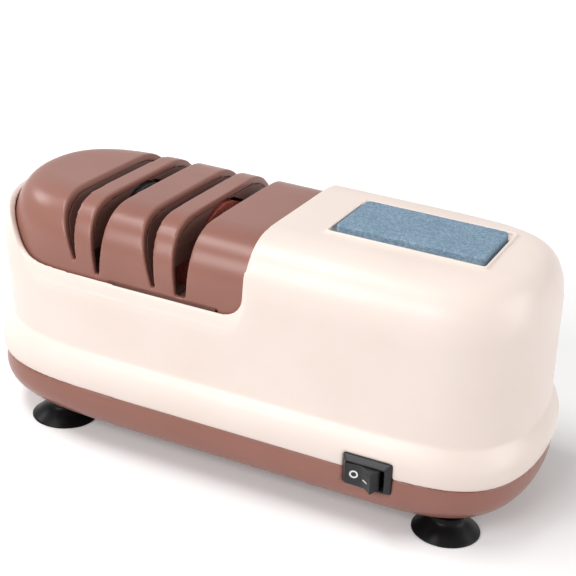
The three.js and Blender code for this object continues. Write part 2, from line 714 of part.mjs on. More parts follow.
// Guide frame: a deck with the inner walls of the four slots
const frameRoom = cut(ringBody(coverInnerRings(fitGap)), coverEnd);
const deckPlate = cut(
  frameRoom.intersect(block(deckLeftEnd, coverRight, -halfWidth, halfWidth, deckBottom, deckTop)),
  block(deckLeftEnd - cutOverrun, coverRight + cutOverrun, -deckRailInner, deckRailInner,
    0, housingTopHeight));
const deckLips = [-1, 1].map((side) => {
  const [near, far] = [side * (halfWidth - coverInset - coverWall - lipWidth),
    side * planHalfWidth(deckLipStart, deckLipInset)].sort((a, b) => a - b);
  return block(deckLipStart, deckLipEnd, near, far, deckBottom, deckTop);
});
// Edge of a slot wall at one height, carried on below the end of the slot
function slotEdge(bottomX, bottomZ, topX, z) {
  return bottomX + ((topX - bottomX) * (z - bottomZ)) / (slotTop - bottomZ);
}
const guideWalls = slotList.flatMap(([[x0, x1, z], [x2, x3]]) => {
  const leftLow = slotEdge(x0, z, x2, deckBottom);
  const rightLow = slotEdge(x1, z, x3, deckBottom);
  return [
    prismY([[leftLow - guideWall, deckBottom], [leftLow, deckBottom], [x2, slotTop],
      [x2 - guideWall, slotTop]], -halfWidth, halfWidth),
    prismY([[rightLow, deckBottom], [rightLow + guideWall, deckBottom], [x3 + guideWall, slotTop],
      [x3, slotTop]], -halfWidth, halfWidth)];
});
const wheelRooms = [coarseWheelX, fineWheelX].map((x) => rodX(wheelRadius + wheelClear, x - wheelClearHalf,
  x + wheelClearHalf, 0, axisHeight, 24));
const guideFrame = cut(
  join(deckPlate, ...deckLips, ...guideWalls.map((wall) => wall.intersect(frameRoom))),
  ...wheelRooms);
piece('guide_frame', guideFrame, brown);

// Whetstone with broken edges
const stoneRing = (z, draw) => [[stoneLeft + draw, -stoneHalfWidth + draw],
  [stoneRight - draw, -stoneHalfWidth + draw], [stoneRight - draw, stoneHalfWidth - draw],
  [stoneLeft + draw, stoneHalfWidth - draw]].map(([x, y]) => new THREE.Vector3(x, y, z));
piece('whetstone', ringBody([stoneRing(stoneBottom, 0), stoneRing(stoneTop - stoneEdge, 0),
  stoneRing(stoneTop, stoneEdge)]), stoneBlue);

// Rocker switch: bezel and body in one, with the rocker in its well
function ringAcross(outline, y) {
  return outline.map(([x, z]) => new THREE.Vector3(x, y, z));
}
const bezelFace = -bezelThickness;
const bezelFlange = ringBody([
  ringAcross(rectangle(bezelHalfLength, bezelHalfHeight, bezelCorner), 0),
  ringAcross(rectangle(bezelHalfLength, bezelHalfHeight, bezelCorner), -bezelEdge),
  ringAcross(rectangle(wellHalfLength + wellLand, wellHalfHeight + wellLand, bezelCorner), bezelFace)]);
const bezelBody = block(-switchBodyHalfLength, switchBodyHalfLength, -bezelEdge, switchBodyDepth,
  -switchBodyHalfHeight, switchBodyHalfHeight);
const bezelWell = block(-wellHalfLength, wellHalfLength, bezelFace - cutOverrun, bezelFace + wellDepth,
  -wellHalfHeight, wellHalfHeight);
const pivotY = bezelFace + rockerPivotDepth;
const pinRoomGeometry = new THREE.CylinderGeometry(rockerPinRadius + fitGap, rockerPinRadius + fitGap,
  2 * (wellHalfHeight + rockerPinLength + fitGap), 12);
pinRoomGeometry.rotateX(Math.PI / 2);
pinRoomGeometry.translate(0, pivotY, 0);
piece('switch_bezel', cut(join(bezelFlange, bezelBody), bezelWell, toSolid(pinRoomGeometry)),
  blackPlastic, switchGroup);

const rockerHalfHeight = wellHalfHeight - fitGap;
const rockerTurn = THREE.MathUtils.degToRad(rockerTurnDegrees);
const rockerNeutral = [[-rockerTopHalf, rockerTopRise], [-rockerFootHalf, rockerFootRise],
  [-rockerHeelHalf, -rockerHeelDrop], [rockerHeelHalf, -rockerHeelDrop],
  [rockerFootHalf, rockerFootRise], [rockerTopHalf, rockerTopRise],
  [rockerTopHalf / 2, (rockerMiddleRise * 3 + rockerTopRise) / 4], [0, rockerMiddleRise],
  [-rockerTopHalf / 2, (rockerMiddleRise * 3 + rockerTopRise) / 4]];
const rockerOutline = rockerNeutral.map(([x, rise]) => [
  x * Math.cos(rockerTurn) - rise * Math.sin(rockerTurn),
  pivotY - (x * Math.sin(rockerTurn) + rise * Math.cos(rockerTurn))]);
const rockerPinGeometry = new THREE.CylinderGeometry(rockerPinRadius, rockerPinRadius,
  2 * (rockerHalfHeight + rockerPinLength), 12);
rockerPinGeometry.rotateX(Math.PI / 2);
rockerPinGeometry.translate(0, pivotY, 0);
piece('switch_rocker', join(prismZ(rockerOutline, -rockerHalfHeight, rockerHalfHeight),
  toSolid(rockerPinGeometry)), blackPlastic, switchGroup);
['feed', 'load'].forEach((name, i) => {
  const x = (i === 0 ? -1 : 1) * terminalSpacing;
  piece(`switch_terminal_${name}`, block(x - terminalThickness / 2, x + terminalThickness / 2,
    switchBodyDepth + fitGap, switchBodyDepth + fitGap + terminalLength,
    -terminalWidth / 2, terminalWidth / 2), brass, switchGroup);
});

// Power inlet with two pins
const inletSeat = inletWallY + fitGap;
const inletRing = (halfX, halfZ, corner, y) => rectangle(halfX, halfZ, corner).map(
  ([x, z]) => new THREE.Vector3(inletX + x, y, inletHeight + z));
const inletFlangeBody = ringBody([
  inletRing(inletHalfLength, inletHalfHeight, inletCorner, inletSeat),
  inletRing(inletHalfLength, inletHalfHeight, inletCorner, inletSeat + inletFlange)]);
const inletBody = block(inletX - inletBodyHalfLength, inletX + inletBodyHalfLength,
  inletSeat - inletBodyDepth, inletSeat + inletFlange / 2,
  inletHeight - inletBodyHalfHeight, inletHeight + inletBodyHalfHeight);
const inletMouth = ringBody([
  inletRing(inletMouthHalfLength, inletMouthHalfHeight, inletMouthHalfHeight / 2,
    inletSeat + inletFlange - inletMouthDepth),
  inletRing(inletMouthHalfLength, inletMouthHalfHeight, inletMouthHalfHeight / 2,
    inletSeat + inletFlange + cutOverrun)]);
const rodY = (radius, y0, y1, x, z, sides) => {
  const geometry = new THREE.CylinderGeometry(radius, radius, y1 - y0, sides);
  geometry.translate(x, (y0 + y1) / 2, z);
  return toSolid(geometry);
};
const pinXs = [inletX - inletPinSpacing, inletX + inletPinSpacing];
const pinFront = inletSeat + inletFlange - inletMouthDepth + (inletMouthDepth * 2) / 3;
const pinRooms = pinXs.map((x) => rodY(inletPinRadius + fitGap, inletSeat - inletBodyDepth - cutOverrun,
  inletSeat, x, inletHeight, 12));
piece('power_inlet', cut(join(inletFlangeBody, inletBody), inletMouth, ...pinRooms), blackPlastic);
['left', 'right'].forEach((name, i) => {
  piece(`inlet_pin_${name}`, rodY(inletPinRadius, pinFront - inletPinLength, pinFront, pinXs[i],
    inletHeight, 12), brass);
});

// Suction cup feet, each hung on a screw from inside the tray
const cupScrewTop = trayFloorTop + fitGap;
cupPlaces.forEach(([x, y], i) => {
  const cupProfile = cupShares.map(([out, up]) => [cupRimRadius * out, cupHeight * up]);
  const bore = rodZ(screwRadius + fitGap, cupHeight * cupBoreShare, cupHeight + cutOverrun, 0, 0, holeSides);
  const cup = piece(`suction_cup_${i + 1}`, cut(turnedZ(cupProfile, 0, 0, cupSides), bore), blackRubber);
  cup.position.set(x, y, 0);
});

// Screws
function screw(length) {
  const shank = turnedZ([[0, -length], [screwRadius * screwTipShare, -length],
    [screwRadius, -length + screwRadius], [screwRadius, screwHeadHeight / 2],
    [0, screwHeadHeight / 2]], 0, 0, 8);
  const head = turnedZ([[0, 0], [screwHeadRadius, 0], [screwHeadRadius, screwHeadHeight * screwHeadEdgeShare],
    [screwHeadRadius * screwCrownShare, screwHeadHeight], [0, screwHeadHeight]], 0, 0, 10);
  const slot = block(-screwHeadRadius, screwHeadRadius, -screwSlotWidth / 2, screwSlotWidth / 2,
    screwHeadHeight - screwSlotDepth, screwHeadHeight + cutOverrun);
  return cut(join(shank, head), slot);
}
cupPlaces.forEach(([x, y], i) => {
  const length = cupScrewTop - cupHeight * cupBoreShare - fitGap;
  const mesh = piece(`cup_screw_${i + 1}`, screw(length), steel);
  mesh.position.set(x, y, cupScrewTop);
});
postPlaces.forEach(([x, y], i) => {
  const mesh = piece(`housing_screw_${i + 1}`, screw(housingScrewReach), steel);
  mesh.position.set(x, y, housingScrewHead + screwHeadHeight);
  mesh.rotation.x = Math.PI;
});

// Spindle, wheels, spacer and nut
const boreRadius = spindleRadius + fitGap;
const collarLeft = coarseWheelX + wheelHubHalf + fitGap;
piece('spindle_shaft', turnedX([[0, spindleLeft], [spindleRadius, spindleLeft],
  [spindleRadius, collarLeft], [collarRadius, collarLeft], [collarRadius, collarLeft + collarWidth],
  [spindleRadius, collarLeft + collarWidth], [spindleRadius, spindleRight], [0, spindleRight]],
0, axisHeight), steel);
function wheelProfile(centre, rim) {
  return [[boreRadius, centre - wheelHubHalf], [wheelHubRadius, centre - wheelHubHalf],
    [wheelRadius, centre - wheelRimHalf], ...rim, [wheelRadius, centre + wheelRimHalf],
    [wheelHubRadius, centre + wheelHubHalf], [boreRadius, centre + wheelHubHalf],
    [boreRadius, centre - wheelHubHalf]];
}
piece('coarse_wheel', turnedX(wheelProfile(coarseWheelX, []), 0, axisHeight, wheelSides), gritRed);
const ridges = [];
for (let i = 1; i < fineWheelRidges; i += 1) {
  const depth = i % 2 === 1 ? ridgeDepth : 0;
  ridges.push([wheelRadius - depth, fineWheelX - wheelRimHalf + (2 * wheelRimHalf * i) / fineWheelRidges]);
}
piece('fine_wheel', turnedX(wheelProfile(fineWheelX, ridges), 0, axisHeight, wheelSides), gritBlack);
const spacerLeft = fineWheelX + wheelHubHalf + fitGap;
const spacerRight = coarseWheelX - wheelHubHalf - fitGap;
piece('wheel_spacer', turnedX([[boreRadius, spacerLeft], [collarRadius, spacerLeft],
  [collarRadius, spacerRight], [boreRadius, spacerRight], [boreRadius, spacerLeft]], 0, axisHeight), steel);
const nutRight = fineWheelX - wheelHubHalf - fitGap;
const hexRadius = nutAcross / Math.sqrt(3);
const nutOutline = arc(hexRadius, 0, (Math.PI * 5) / 3, 5).map(([y, z]) => [y, z + axisHeight]);
piece('retaining_nut', cut(prismX(nutOutline, nutRight - nutWidth, nutRight),
  rodX(boreRadius, nutRight - nutWidth - cutOverrun, nutRight + cutOverrun, 0, axisHeight)), steel);

// Bearings and brackets
[['inner', innerBearingX], ['outer', outerBearingX]].forEach(([name, x]) => {
  const [x0, x1] = [x - bearingWidth / 2, x + bearingWidth / 2];
  piece(`${name}_bearing`, turnedX([[boreRadius, x0], [bearingRadius, x0], [bearingRadius, x1],
    [boreRadius, x1], [boreRadius, x0]], 0, axisHeight), darkSteel);
  const footBottom = trayFloorTop + fitGap;
  const topRadius = bearingRadius + fitGap + bracketRim;
  const outline = [[-bracketHalfWidth, footBottom], [bracketHalfWidth, footBottom],
    [bracketHalfWidth, footBottom + bracketHalfWidth],
    ...arc(topRadius, 0, Math.PI, 12).map(([y, z]) => [y, z + axisHeight]),
    [-bracketHalfWidth, footBottom + bracketHalfWidth]];
  const plate = prismX(outline, x - bracketThickness / 2, x + bracketThickness / 2);
  const foot = block(x - bracketThickness / 2, x - bracketThickness / 2 + bracketFoot,
    -bracketHalfWidth, bracketHalfWidth, footBottom, footBottom + bracketFootThickness);
  const holes = bracketScrewPlaces.map(([px, py]) => rodZ(screwRadius + fitGap, 0,
    footBottom + bracketFootThickness + cutOverrun, px, py, holeSides));
  piece(`${name}_bearing_bracket`, cut(join(plate, foot),
    rodX(bearingRadius + fitGap, x - bearingWidth, x + bearingWidth, 0, axisHeight), ...holes), darkSteel);
});
bracketScrewPlaces.forEach(([x, y], i) => {
  const mesh = piece(`bracket_screw_${i + 1}`, screw(bracketScrewReach), steel);
  mesh.position.set(x, y, trayFloorTop + fitGap + bracketFootThickness + fitGap);
});

// Coupling between spindle and motor
const couplingWebLeft = spindleRight + fitGap;
const couplingWebRight = motorShaftLeft - fitGap;
const motorBore = motorShaftRadius + fitGap;
piece('shaft_coupling', turnedX([[0, couplingWebLeft], [boreRadius, couplingWebLeft],
  [boreRadius, couplingLeft], [couplingRadius, couplingLeft], [couplingRadius, couplingRight],
  [motorBore, couplingRight], [motorBore, couplingWebRight], [0, couplingWebRight]], 0, axisHeight), brass);

// Motor
const canBore = canRadius - canWall;
piece('motor_can', turnedX([[motorBore, canLeft], [canRadius, canLeft], [canRadius, canRight],
  [canBore, canRight], [canBore, canLeft + canWall], [motorBore, canLeft + canWall],
  [motorBore, canLeft]], 0, axisHeight, 28), darkSteel);
const capLeft = canRight + fitGap;
const capRight = capLeft + capThickness;
piece('motor_end_cap', turnedX([[motorBore, capLeft - capSpigot], [canBore - fitGap, capLeft - capSpigot],
  [canBore - fitGap, capLeft], [canRadius, capLeft], [canRadius, capRight], [motorBore, capRight],
  [motorBore, capLeft - capSpigot]], 0, axisHeight, 28), blackPlastic);
piece('motor_rotor', turnedX([[0, motorShaftLeft], [motorShaftRadius, motorShaftLeft],
  [motorShaftRadius, armatureLeft], [armatureRadius, armatureLeft], [armatureRadius, armatureRight],
  [motorShaftRadius, armatureRight], [motorShaftRadius, commutatorLeft],
  [commutatorRadius, commutatorLeft], [commutatorRadius, commutatorRight],
  [motorShaftRadius, commutatorRight], [motorShaftRadius, capRight], [0, capRight]], 0, axisHeight), steel);
const magnetOuter = canBore - fitGap;
const magnetInner = magnetOuter - magnetThickness;
const magnetTurn = Math.PI * 2 * magnetHalfTurnShare;
[['front', Math.PI], ['back', 0]].forEach(([name, middle]) => {
  const outline = [...arc(magnetOuter, middle - magnetTurn, middle + magnetTurn, 10),
    ...arc(magnetInner, middle + magnetTurn, middle - magnetTurn, 10)];
  piece(`motor_magnet_${name}`, prismX(outline.map(([y, z]) => [y, z + axisHeight]),
    armatureLeft, armatureRight), darkSteel);
});

// Motor cradle and straps
const cradleBottom = trayFloorTop + fitGap;
const canSeat = rodX(canRadius + fitGap, cradleLeft - cutOverrun, cradleRight + cutOverrun,
  0, axisHeight, 28);
const ribSpans = [cradleRibLeft, cradleRibRight].map((x) => [x, x + cradleRib]);
const strapHoleBottom = axisHeight - bracketScrewReach - screwRadius;
const cradle = cut(
  join(block(cradleLeft, cradleRight, -cradleFootHalf, cradleFootHalf, cradleBottom,
    cradleBottom + cradleFootThickness),
  ...ribSpans.map(([x0, x1]) => block(x0, x1, -cradleHalfWidth, cradleHalfWidth, cradleBottom, axisHeight))),
  canSeat,
  ...ribSpans.flatMap(([x0, x1]) => [-1, 1].map((side) => rodZ(screwRadius + fitGap - weldTolerance,
    strapHoleBottom, axisHeight + cutOverrun, (x0 + x1) / 2, side * strapScrewY, 8))));
piece('motor_cradle', cradle, darkSteel);
const strapInner = canRadius + fitGap;
const strapOuter = strapInner + strapThickness;
ribSpans.forEach(([x0, x1], i) => {
  const name = i === 0 ? 'left' : 'right';
  const base = fitGap / strapInner;
  const outline = [[cradleHalfWidth, fitGap], [cradleHalfWidth, fitGap + strapThickness],
    ...arc(strapOuter, Math.asin((fitGap + strapThickness) / strapOuter),
      Math.PI - Math.asin((fitGap + strapThickness) / strapOuter), 18),
    [-cradleHalfWidth, fitGap + strapThickness], [-cradleHalfWidth, fitGap],
    ...arc(strapInner, Math.PI - base, base, 18)];
  const strap = cut(prismX(outline.map(([y, z]) => [y, z + axisHeight]), x0, x1),
    ...[-1, 1].map((side) => rodZ(screwRadius + fitGap - weldTolerance, axisHeight - cutOverrun,
      axisHeight + cutOverrun, (x0 + x1) / 2, side * strapScrewY, 8)));
  piece(`motor_strap_${name}`, strap, steel);
  [-1, 1].forEach((side, j) => {
    const mesh = piece(`strap_screw_${i * 2 + j + 1}`, screw(bracketScrewReach), steel);
    mesh.position.set((x0 + x1) / 2, side * strapScrewY, axisHeight + fitGap + strapThickness + fitGap);
  });
});

// Circuit board with rectifier and capacitor
piece('circuit_board', block(boardLeft, boardRight, -boardHalfWidth, boardHalfWidth, boardHeight,
  boardHeight + boardThickness), boardGreen);
const boardTop = boardHeight + boardThickness + fitGap;
const [rectifierLength, rectifierWidth, rectifierHeight] = rectifierSize;
piece('bridge_rectifier', block(rectifierX - rectifierLength / 2, rectifierX + rectifierLength / 2,
  rectifierY - rectifierWidth / 2, rectifierY + rectifierWidth / 2, boardTop, boardTop + rectifierHeight),
blackPlastic);
piece('smoothing_capacitor', rodZ(capacitorRadius, boardTop, boardTop + capacitorHeight,
  capacitorX, capacitorY, 20), leadBlue);

// Leads between inlet, switch, board and motor
function lead(name, points) {
  const path = new THREE.CatmullRomCurve3(points.map(([x, y, z]) => new THREE.Vector3(x, y, z)));
  const section = new THREE.Shape(arc(leadRadius, 0, 2 * Math.PI * (1 - 1 / leadSides), leadSides - 1).map(
    ([u, v]) => new THREE.Vector2(u, v)));
  const geometry = new THREE.ExtrudeGeometry(section, { steps: 14, extrudePath: path });
  piece(name, toSolid(geometry), leadBlue);
}
const terminalPoint = (x, y) => new THREE.Vector3(x, y, 0).applyMatrix4(switchGroup.matrix);
const feedEnd = terminalPoint(-terminalSpacing, switchBodyDepth + fitGap + terminalLength);
const loadEnd = terminalPoint(terminalSpacing, switchBodyDepth + fitGap + terminalLength);
const pinBack = pinFront - inletPinLength;
const canHalfChord = Math.sqrt(canRadius ** 2 - (axisHeight - inletHeight) ** 2);
const pinStub = (pinBack - canHalfChord) * pinStubShare;
const leadLow = boardTop + leadRadius;
const leadLane = boardLeft - leadStub;
const boardEnd = boardLeft + leadStub;
const switchBack = (end, reach) => [end.x, end.y + reach, end.z];
lead('lead_switch_to_board', [switchBack(loadEnd, leadGap), switchBack(loadEnd, leadStub),
  [leadLane, -boardRibHalf, leadLow + leadRadius], [boardEnd - leadStub / 2, -boardRibHalf, leadLow],
  [boardEnd, -boardRibHalf, leadLow]]);
lead('lead_inlet_to_board', [[pinXs[1], pinBack - leadGap, inletHeight],
  [pinXs[1], pinBack - pinStub, inletHeight],
  [leadLane, boardRibHalf + leadStub, leadLow + 2 * leadStub],
  [boardEnd - leadStub / 2, boardRibHalf, leadLow], [boardEnd, boardRibHalf, leadLow]]);
lead('lead_inlet_to_switch', [[pinXs[0], pinBack - leadGap, inletHeight],
  [pinXs[0], pinBack - pinStub, inletHeight],
  [leadLane - leadStub, boardRibHalf / 2, leadLow],
  [leadLane - leadStub, -boardRibHalf / 2, leadLow],
  switchBack(feedEnd, leadStub), switchBack(feedEnd, leadGap)]);
lead('lead_board_to_motor', [[boardEnd, 0, leadLow], [boardEnd - leadStub / 2, 0, leadLow],
  [boardLeft, 0, leadLow + 2 * leadStub],
  [capRight + leadStub * 2, 0, axisHeight - canRadius],
  [capRight + leadStub, 0, axisHeight - canRadius * leadReachShare],
  [capRight + leadGap, 0, axisHeight - canRadius * leadReachShare]]);

// The frame's origin is the middle of the footprint, on the surface under the feet
sharpener.updateMatrixWorld(true);
const bounds = new THREE.Box3().setFromObject(sharpener, true);
sharpener.position.set(-(bounds.min.x + bounds.max.x) / 2, -(bounds.min.y + bounds.max.y) / 2,
  -bounds.min.z);
sharpener.updateMatrixWorld(true);

export default sharpener;
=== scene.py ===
import math
import bmesh
import bpy
from mathutils import Matrix, Vector


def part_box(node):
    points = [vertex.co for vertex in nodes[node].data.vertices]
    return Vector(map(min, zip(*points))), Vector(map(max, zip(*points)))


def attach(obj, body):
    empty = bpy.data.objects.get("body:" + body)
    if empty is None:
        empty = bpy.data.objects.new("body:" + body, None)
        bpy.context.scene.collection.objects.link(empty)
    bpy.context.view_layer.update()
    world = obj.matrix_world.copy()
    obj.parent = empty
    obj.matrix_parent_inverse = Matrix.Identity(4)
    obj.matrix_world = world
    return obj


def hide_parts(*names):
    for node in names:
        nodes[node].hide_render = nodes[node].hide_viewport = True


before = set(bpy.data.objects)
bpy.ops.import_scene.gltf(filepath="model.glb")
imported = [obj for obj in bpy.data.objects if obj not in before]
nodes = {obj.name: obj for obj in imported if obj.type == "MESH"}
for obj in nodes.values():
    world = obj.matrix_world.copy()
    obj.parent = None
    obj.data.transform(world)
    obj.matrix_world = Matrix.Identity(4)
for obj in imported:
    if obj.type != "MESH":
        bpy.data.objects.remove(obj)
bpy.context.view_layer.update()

# The view: a long lens a little above the sharpener and to the right of its front, turned a few
# degrees, with the sharpener set slightly left of the middle of the lens.
view_height = math.radians(22.909)
view_side = math.radians(20.89)
view_turn = math.radians(5.62)
view_distance = 0.615749
look_at = Vector((0.002489, 0.0500685, 0.05))
film_width, picture_width = 36, 576
focal_pixels, shift_pixels = 1385.61, 40
away = Vector((math.sin(view_side) * math.cos(view_height),
               -math.cos(view_side) * math.cos(view_height), math.sin(view_height)))
level = Vector((math.cos(view_side), math.sin(view_side), 0))
upward = away.cross(level)
across = level * math.cos(view_turn) + upward * math.sin(view_turn)
upright = upward * math.cos(view_turn) - level * math.sin(view_turn)
eye = look_at + away * view_distance
lens = bpy.data.cameras.new("view")
lens.sensor_width = film_width
lens.lens = film_width * focal_pixels / picture_width
lens.shift_x = -shift_pixels / picture_width
lens.clip_start = 0.01
watcher = bpy.data.objects.new("view", lens)
watcher.matrix_world = Matrix((
    (across.x, upright.x, away.x, eye.x), (across.y, upright.y, away.y, eye.y),
    (across.z, upright.z, away.z, eye.z), (0, 0, 0, 1)))
bpy.context.scene.collection.objects.link(watcher)
bpy.context.scene.camera = watcher
bpy.context.scene.view_settings.view_transform = "Standard"

# The studio: a pale sweep of paper under the feet and a pale room all round, lit by soft boxes
# from above, from the front and from both sides, and by a plain even light from the room.


def seen_apart(tree, lighting, seen):
    """Shows one shader to the rays that see the background, straight on, mirrored in gloss or
    through something clear, and the other one to the rays that light the sharpener"""
    rays = tree.nodes.new("ShaderNodeLightPath")
    sees = rays.outputs["Is Camera Ray"]
    for kind in ("Is Glossy Ray", "Is Transmission Ray"):
        either = tree.nodes.new("ShaderNodeMath")
        either.operation = "MAXIMUM"
        tree.links.new(sees, either.inputs[0])
        tree.links.new(rays.outputs[kind], either.inputs[1])
        sees = either.outputs[0]
    pick = tree.nodes.new("ShaderNodeMixShader")
    tree.links.new(sees, pick.inputs["Fac"])
    tree.links.new(lighting.outputs[0], pick.inputs[1])
    tree.links.new(seen.outputs[0], pick.inputs[2])
    return pick.outputs[0]


room = bpy.data.worlds.new("studio")
bpy.context.scene.world = room
room.use_nodes = True
room_tree = room.node_tree
room_tree.nodes.clear()
room_out = room_tree.nodes.new("ShaderNodeOutputWorld")
room_light = room_tree.nodes.new("ShaderNodeBackground")
room_light.inputs["Color"].default_value = (1, 0.99, 0.985, 1)
room_light.inputs["Strength"].default_value = 0.24
room_seen = room_tree.nodes.new("ShaderNodeBackground")
room_seen.inputs["Color"].default_value = (0.8, 0.8, 0.8, 1)
room_seen.inputs["Strength"].default_value = 1
room_tree.links.new(seen_apart(room_tree, room_light, room_seen), room_out.inputs["Surface"])


def own_place(tree):
    """Where a point of the surface is, in the object's own metres"""
    return tree.nodes.new("ShaderNodeTexCoord").outputs["Object"]


def span(tree, value, start, end, low, high):
    """A value that runs from start to end, stretched to run from low to high"""
    reach = tree.nodes.new("ShaderNodeMapRange")
    reach.inputs["From Min"].default_value = start
    reach.inputs["From Max"].default_value = end
    reach.inputs["To Min"].default_value = low
    reach.inputs["To Max"].default_value = high
    tree.links.new(value, reach.inputs["Value"])
    return reach.outputs["Result"]


# The paper, as it is seen, glows with painted light. The glow is weakest close to the sharpener,
# where it keeps the shadow dark, and grows further away, where it paints the floor white.
shadow_reach, white_reach = 0.25, 1
least_painted_glow, most_painted_glow = 0.1, 0.8
sweep_radius = 6
paper = bpy.data.materials.new("paper_sweep")
paper.use_nodes = True
paper_tree = paper.node_tree
paper_tree.nodes.clear()
paper_out = paper_tree.nodes.new("ShaderNodeOutputMaterial")
paper_light = paper_tree.nodes.new("ShaderNodeBsdfDiffuse")
paper_light.inputs["Color"].default_value = (0.8, 0.8, 0.8, 1)
paper_white = paper_tree.nodes.new("ShaderNodeBsdfDiffuse")
paper_white.inputs["Color"].default_value = (1, 1, 1, 1)
paper_painted_glow = paper_tree.nodes.new("ShaderNodeEmission")
paper_reach = paper_tree.nodes.new("ShaderNodeVectorMath")
paper_reach.operation = "LENGTH"
paper_tree.links.new(own_place(paper_tree), paper_reach.inputs[0])
paper_tree.links.new(span(paper_tree, paper_reach.outputs["Value"], shadow_reach, white_reach,
                          least_painted_glow, most_painted_glow), paper_painted_glow.inputs["Strength"])
paper_seen = paper_tree.nodes.new("ShaderNodeAddShader")
paper_tree.links.new(paper_white.outputs[0], paper_seen.inputs[0])
paper_tree.links.new(paper_painted_glow.outputs[0], paper_seen.inputs[1])
paper_tree.links.new(seen_apart(paper_tree, paper_light, paper_seen), paper_out.inputs["Surface"])


def as_object(name, form):
    """Sets a finished form down in the scene"""
    data = bpy.data.meshes.new(name)
    form.to_mesh(data)
    form.free()
    body = bpy.data.objects.new(name, data)
    bpy.context.scene.collection.objects.link(body)
    return body


sweep_form = bmesh.new()
bmesh.ops.create_circle(sweep_form, cap_ends=True, segments=96, radius=sweep_radius)
sweep = as_object("paper_sweep", sweep_form)
sweep.data.materials.append(paper)


def soft_box(name, place, target, width, height, watts):
    """A lamp behind a rectangle of cloth, turned to what it lights"""
    lamp = bpy.data.lights.new(name, "AREA")
    lamp.shape = "RECTANGLE"
    lamp.size = width
    lamp.size_y = height
    lamp.energy = watts
    holder = bpy.data.objects.new(name, lamp)
    holder.location = place
    holder.rotation_euler = (Vector(target) - Vector(place)).to_track_quat("-Z", "Y").to_euler()
    bpy.context.scene.collection.objects.link(holder)


soft_box("key_box", place=(-0.5, -0.3, 1.32), target=(0, 0, 0.06),
         width=0.9, height=0.3, watts=8)
soft_box("front_box", place=(-0.4, -1.35, 0.85), target=(0, 0, 0.05),
         width=0.9, height=0.6, watts=13.4)
soft_box("left_box", place=(-1.15, 0, 0.9), target=(0, 0, 0.08),
         width=0.5, height=0.3, watts=4)
soft_box("side_box", place=(1.55, 0.4, 0.6), target=(0, 0, 0.05),
         width=1.2, height=1.2, watts=13.5)

# The upper housing: the cream cap of the machine, injection moulded in satin ABS with a wall
# of 2.5 mm. A skirt rolls out below a soft crease, the shoulders round over in one sweep, and a
# window with a soft sill is open over the wheels. Four screws from below hold it to the tray.
mm = 0.001
plan_middle = sum(corner[1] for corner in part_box("whetstone")) / 2 / mm
half_length, half_width = 118.5, 54.5
border_height, crease_height, wall_top_height, housing_top = 26.4, 41.8, 75, 103.6
crease_inset, wall_inset, housing_wall = 3.07, 4.5, 2.5
left_power, left_power_gain, left_lean, right_power, side_power = 6.2, 1.8, 5, 8.66, 2.19
shoulder_rise_power, shoulder_draw_power = 2.6, 3.2
top_draw_ends, top_draw_sides, room_draw_ends = 20, 28.5, 15
beyond_side, beyond_top, beyond_left = 60, 110, -129.5
room_low, skirt_room_top = 20, 36
ring_points, shoulder_rings, wall_rings, post_sides = 168, 22, 6, 32
skirt_bulge = [(0, 0), (0.08, -0.14), (0.2, -0.25), (0.33, -0.29), (0.5, -0.22), (0.66, 0.02),
               (0.8, 0.33), (0.92, 0.68), (1, 1)]


def smooth_row(row, steps):
    """A row of points, drawn through as one smooth curve"""
    found = []
    for i in range(len(row) - 1):
        before, start = row[max(i - 1, 0)], row[i]
        end, after = row[i + 1], row[min(i + 2, len(row) - 1)]
        for k in range(steps):
            t = k / steps
            found.append(tuple(0.5 * (
                2 * b + (c - a) * t + (2 * a - 5 * b + 4 * c - d) * t * t
                + (3 * b - a - 3 * c + d) * t ** 3)
                for a, b, c, d in zip(before, start, end, after)))
    return found + [tuple(row[-1])]


def end_shape(x, z):
    """How square the shell's end is at one height, and how far it leans out there"""
    rise = min(max((z - crease_height) / (wall_top_height - crease_height), 0), 1)
    if x < 0:
        return left_power + left_power_gain * rise, left_lean * rise
    return right_power, 0


def shell_ring(z, inset_x, inset_y=None):
    """One level line of the shell, drawn in at the ends and at the sides"""
    inset_y = inset_x if inset_y is None else inset_y
    ring = []
    for i in range(ring_points):
        turn = 2 * math.pi * i / ring_points
        c, s = math.cos(turn), math.sin(turn)
        power, lean = end_shape(c, z)
        x = (half_length - inset_x + lean) * math.copysign(abs(c) ** (2 / power), c)
        y = (half_width - inset_y) * math.copysign(abs(s) ** (2 / side_power), s)
        ring.append((x, y, z))
    return ring


def shell_side(x, inset, z):
    """How far the shell reaches sideways at one place along it, never down to nothing"""
    power, lean = end_shape(x, z)
    room_left = 1 - abs(x / (half_length - inset + lean)) ** power
    return (half_width - inset) * max(room_left, 0.02) ** (1 / side_power)


def shoulder(low, high, inset, at_ends, at_sides):
    """The sweep from the top of a wall to the flat above it, drawn in further as it rises"""
    rings = []
    for i in range(1, shoulder_rings + 1):
        rise = math.sin(math.pi / 2 * i / shoulder_rings)
        drawn = 1 - (1 - rise ** shoulder_rise_power) ** (1 / shoulder_draw_power)
        rings.append(shell_ring(low + (high - low) * rise, inset + at_ends * drawn,
                                inset + at_sides * drawn))
    return rings


def closed_form(name, rings, looped=False):
    """A closed body through rings of equal counts, in millimetres round the plan's middle. It is
    capped at both ends or, where it is looped, smooth and closed on itself like a hoop"""
    form = bmesh.new()
    rows = [[form.verts.new((x * mm, (y + plan_middle) * mm, z * mm)) for x, y, z in ring]
            for ring in rings]
    for low, high in zip(rows, rows[1:] + rows[:1] if looped else rows[1:]):
        for i in range(len(low)):
            j = (i + 1) % len(low)
            form.faces.new((low[i], low[j], high[j], high[i]))
    if not looped:
        for row in (rows[0], rows[-1]):
            hub = form.verts.new(sum((v.co for v in row), Vector()) / len(row))
            for i in range(len(row)):
                form.faces.new((row[i], row[(i + 1) % len(row)], hub))
    bmesh.ops.recalc_face_normals(form, faces=form.faces)
    for face in form.faces:
        face.smooth = looped
    return as_object(name, form)


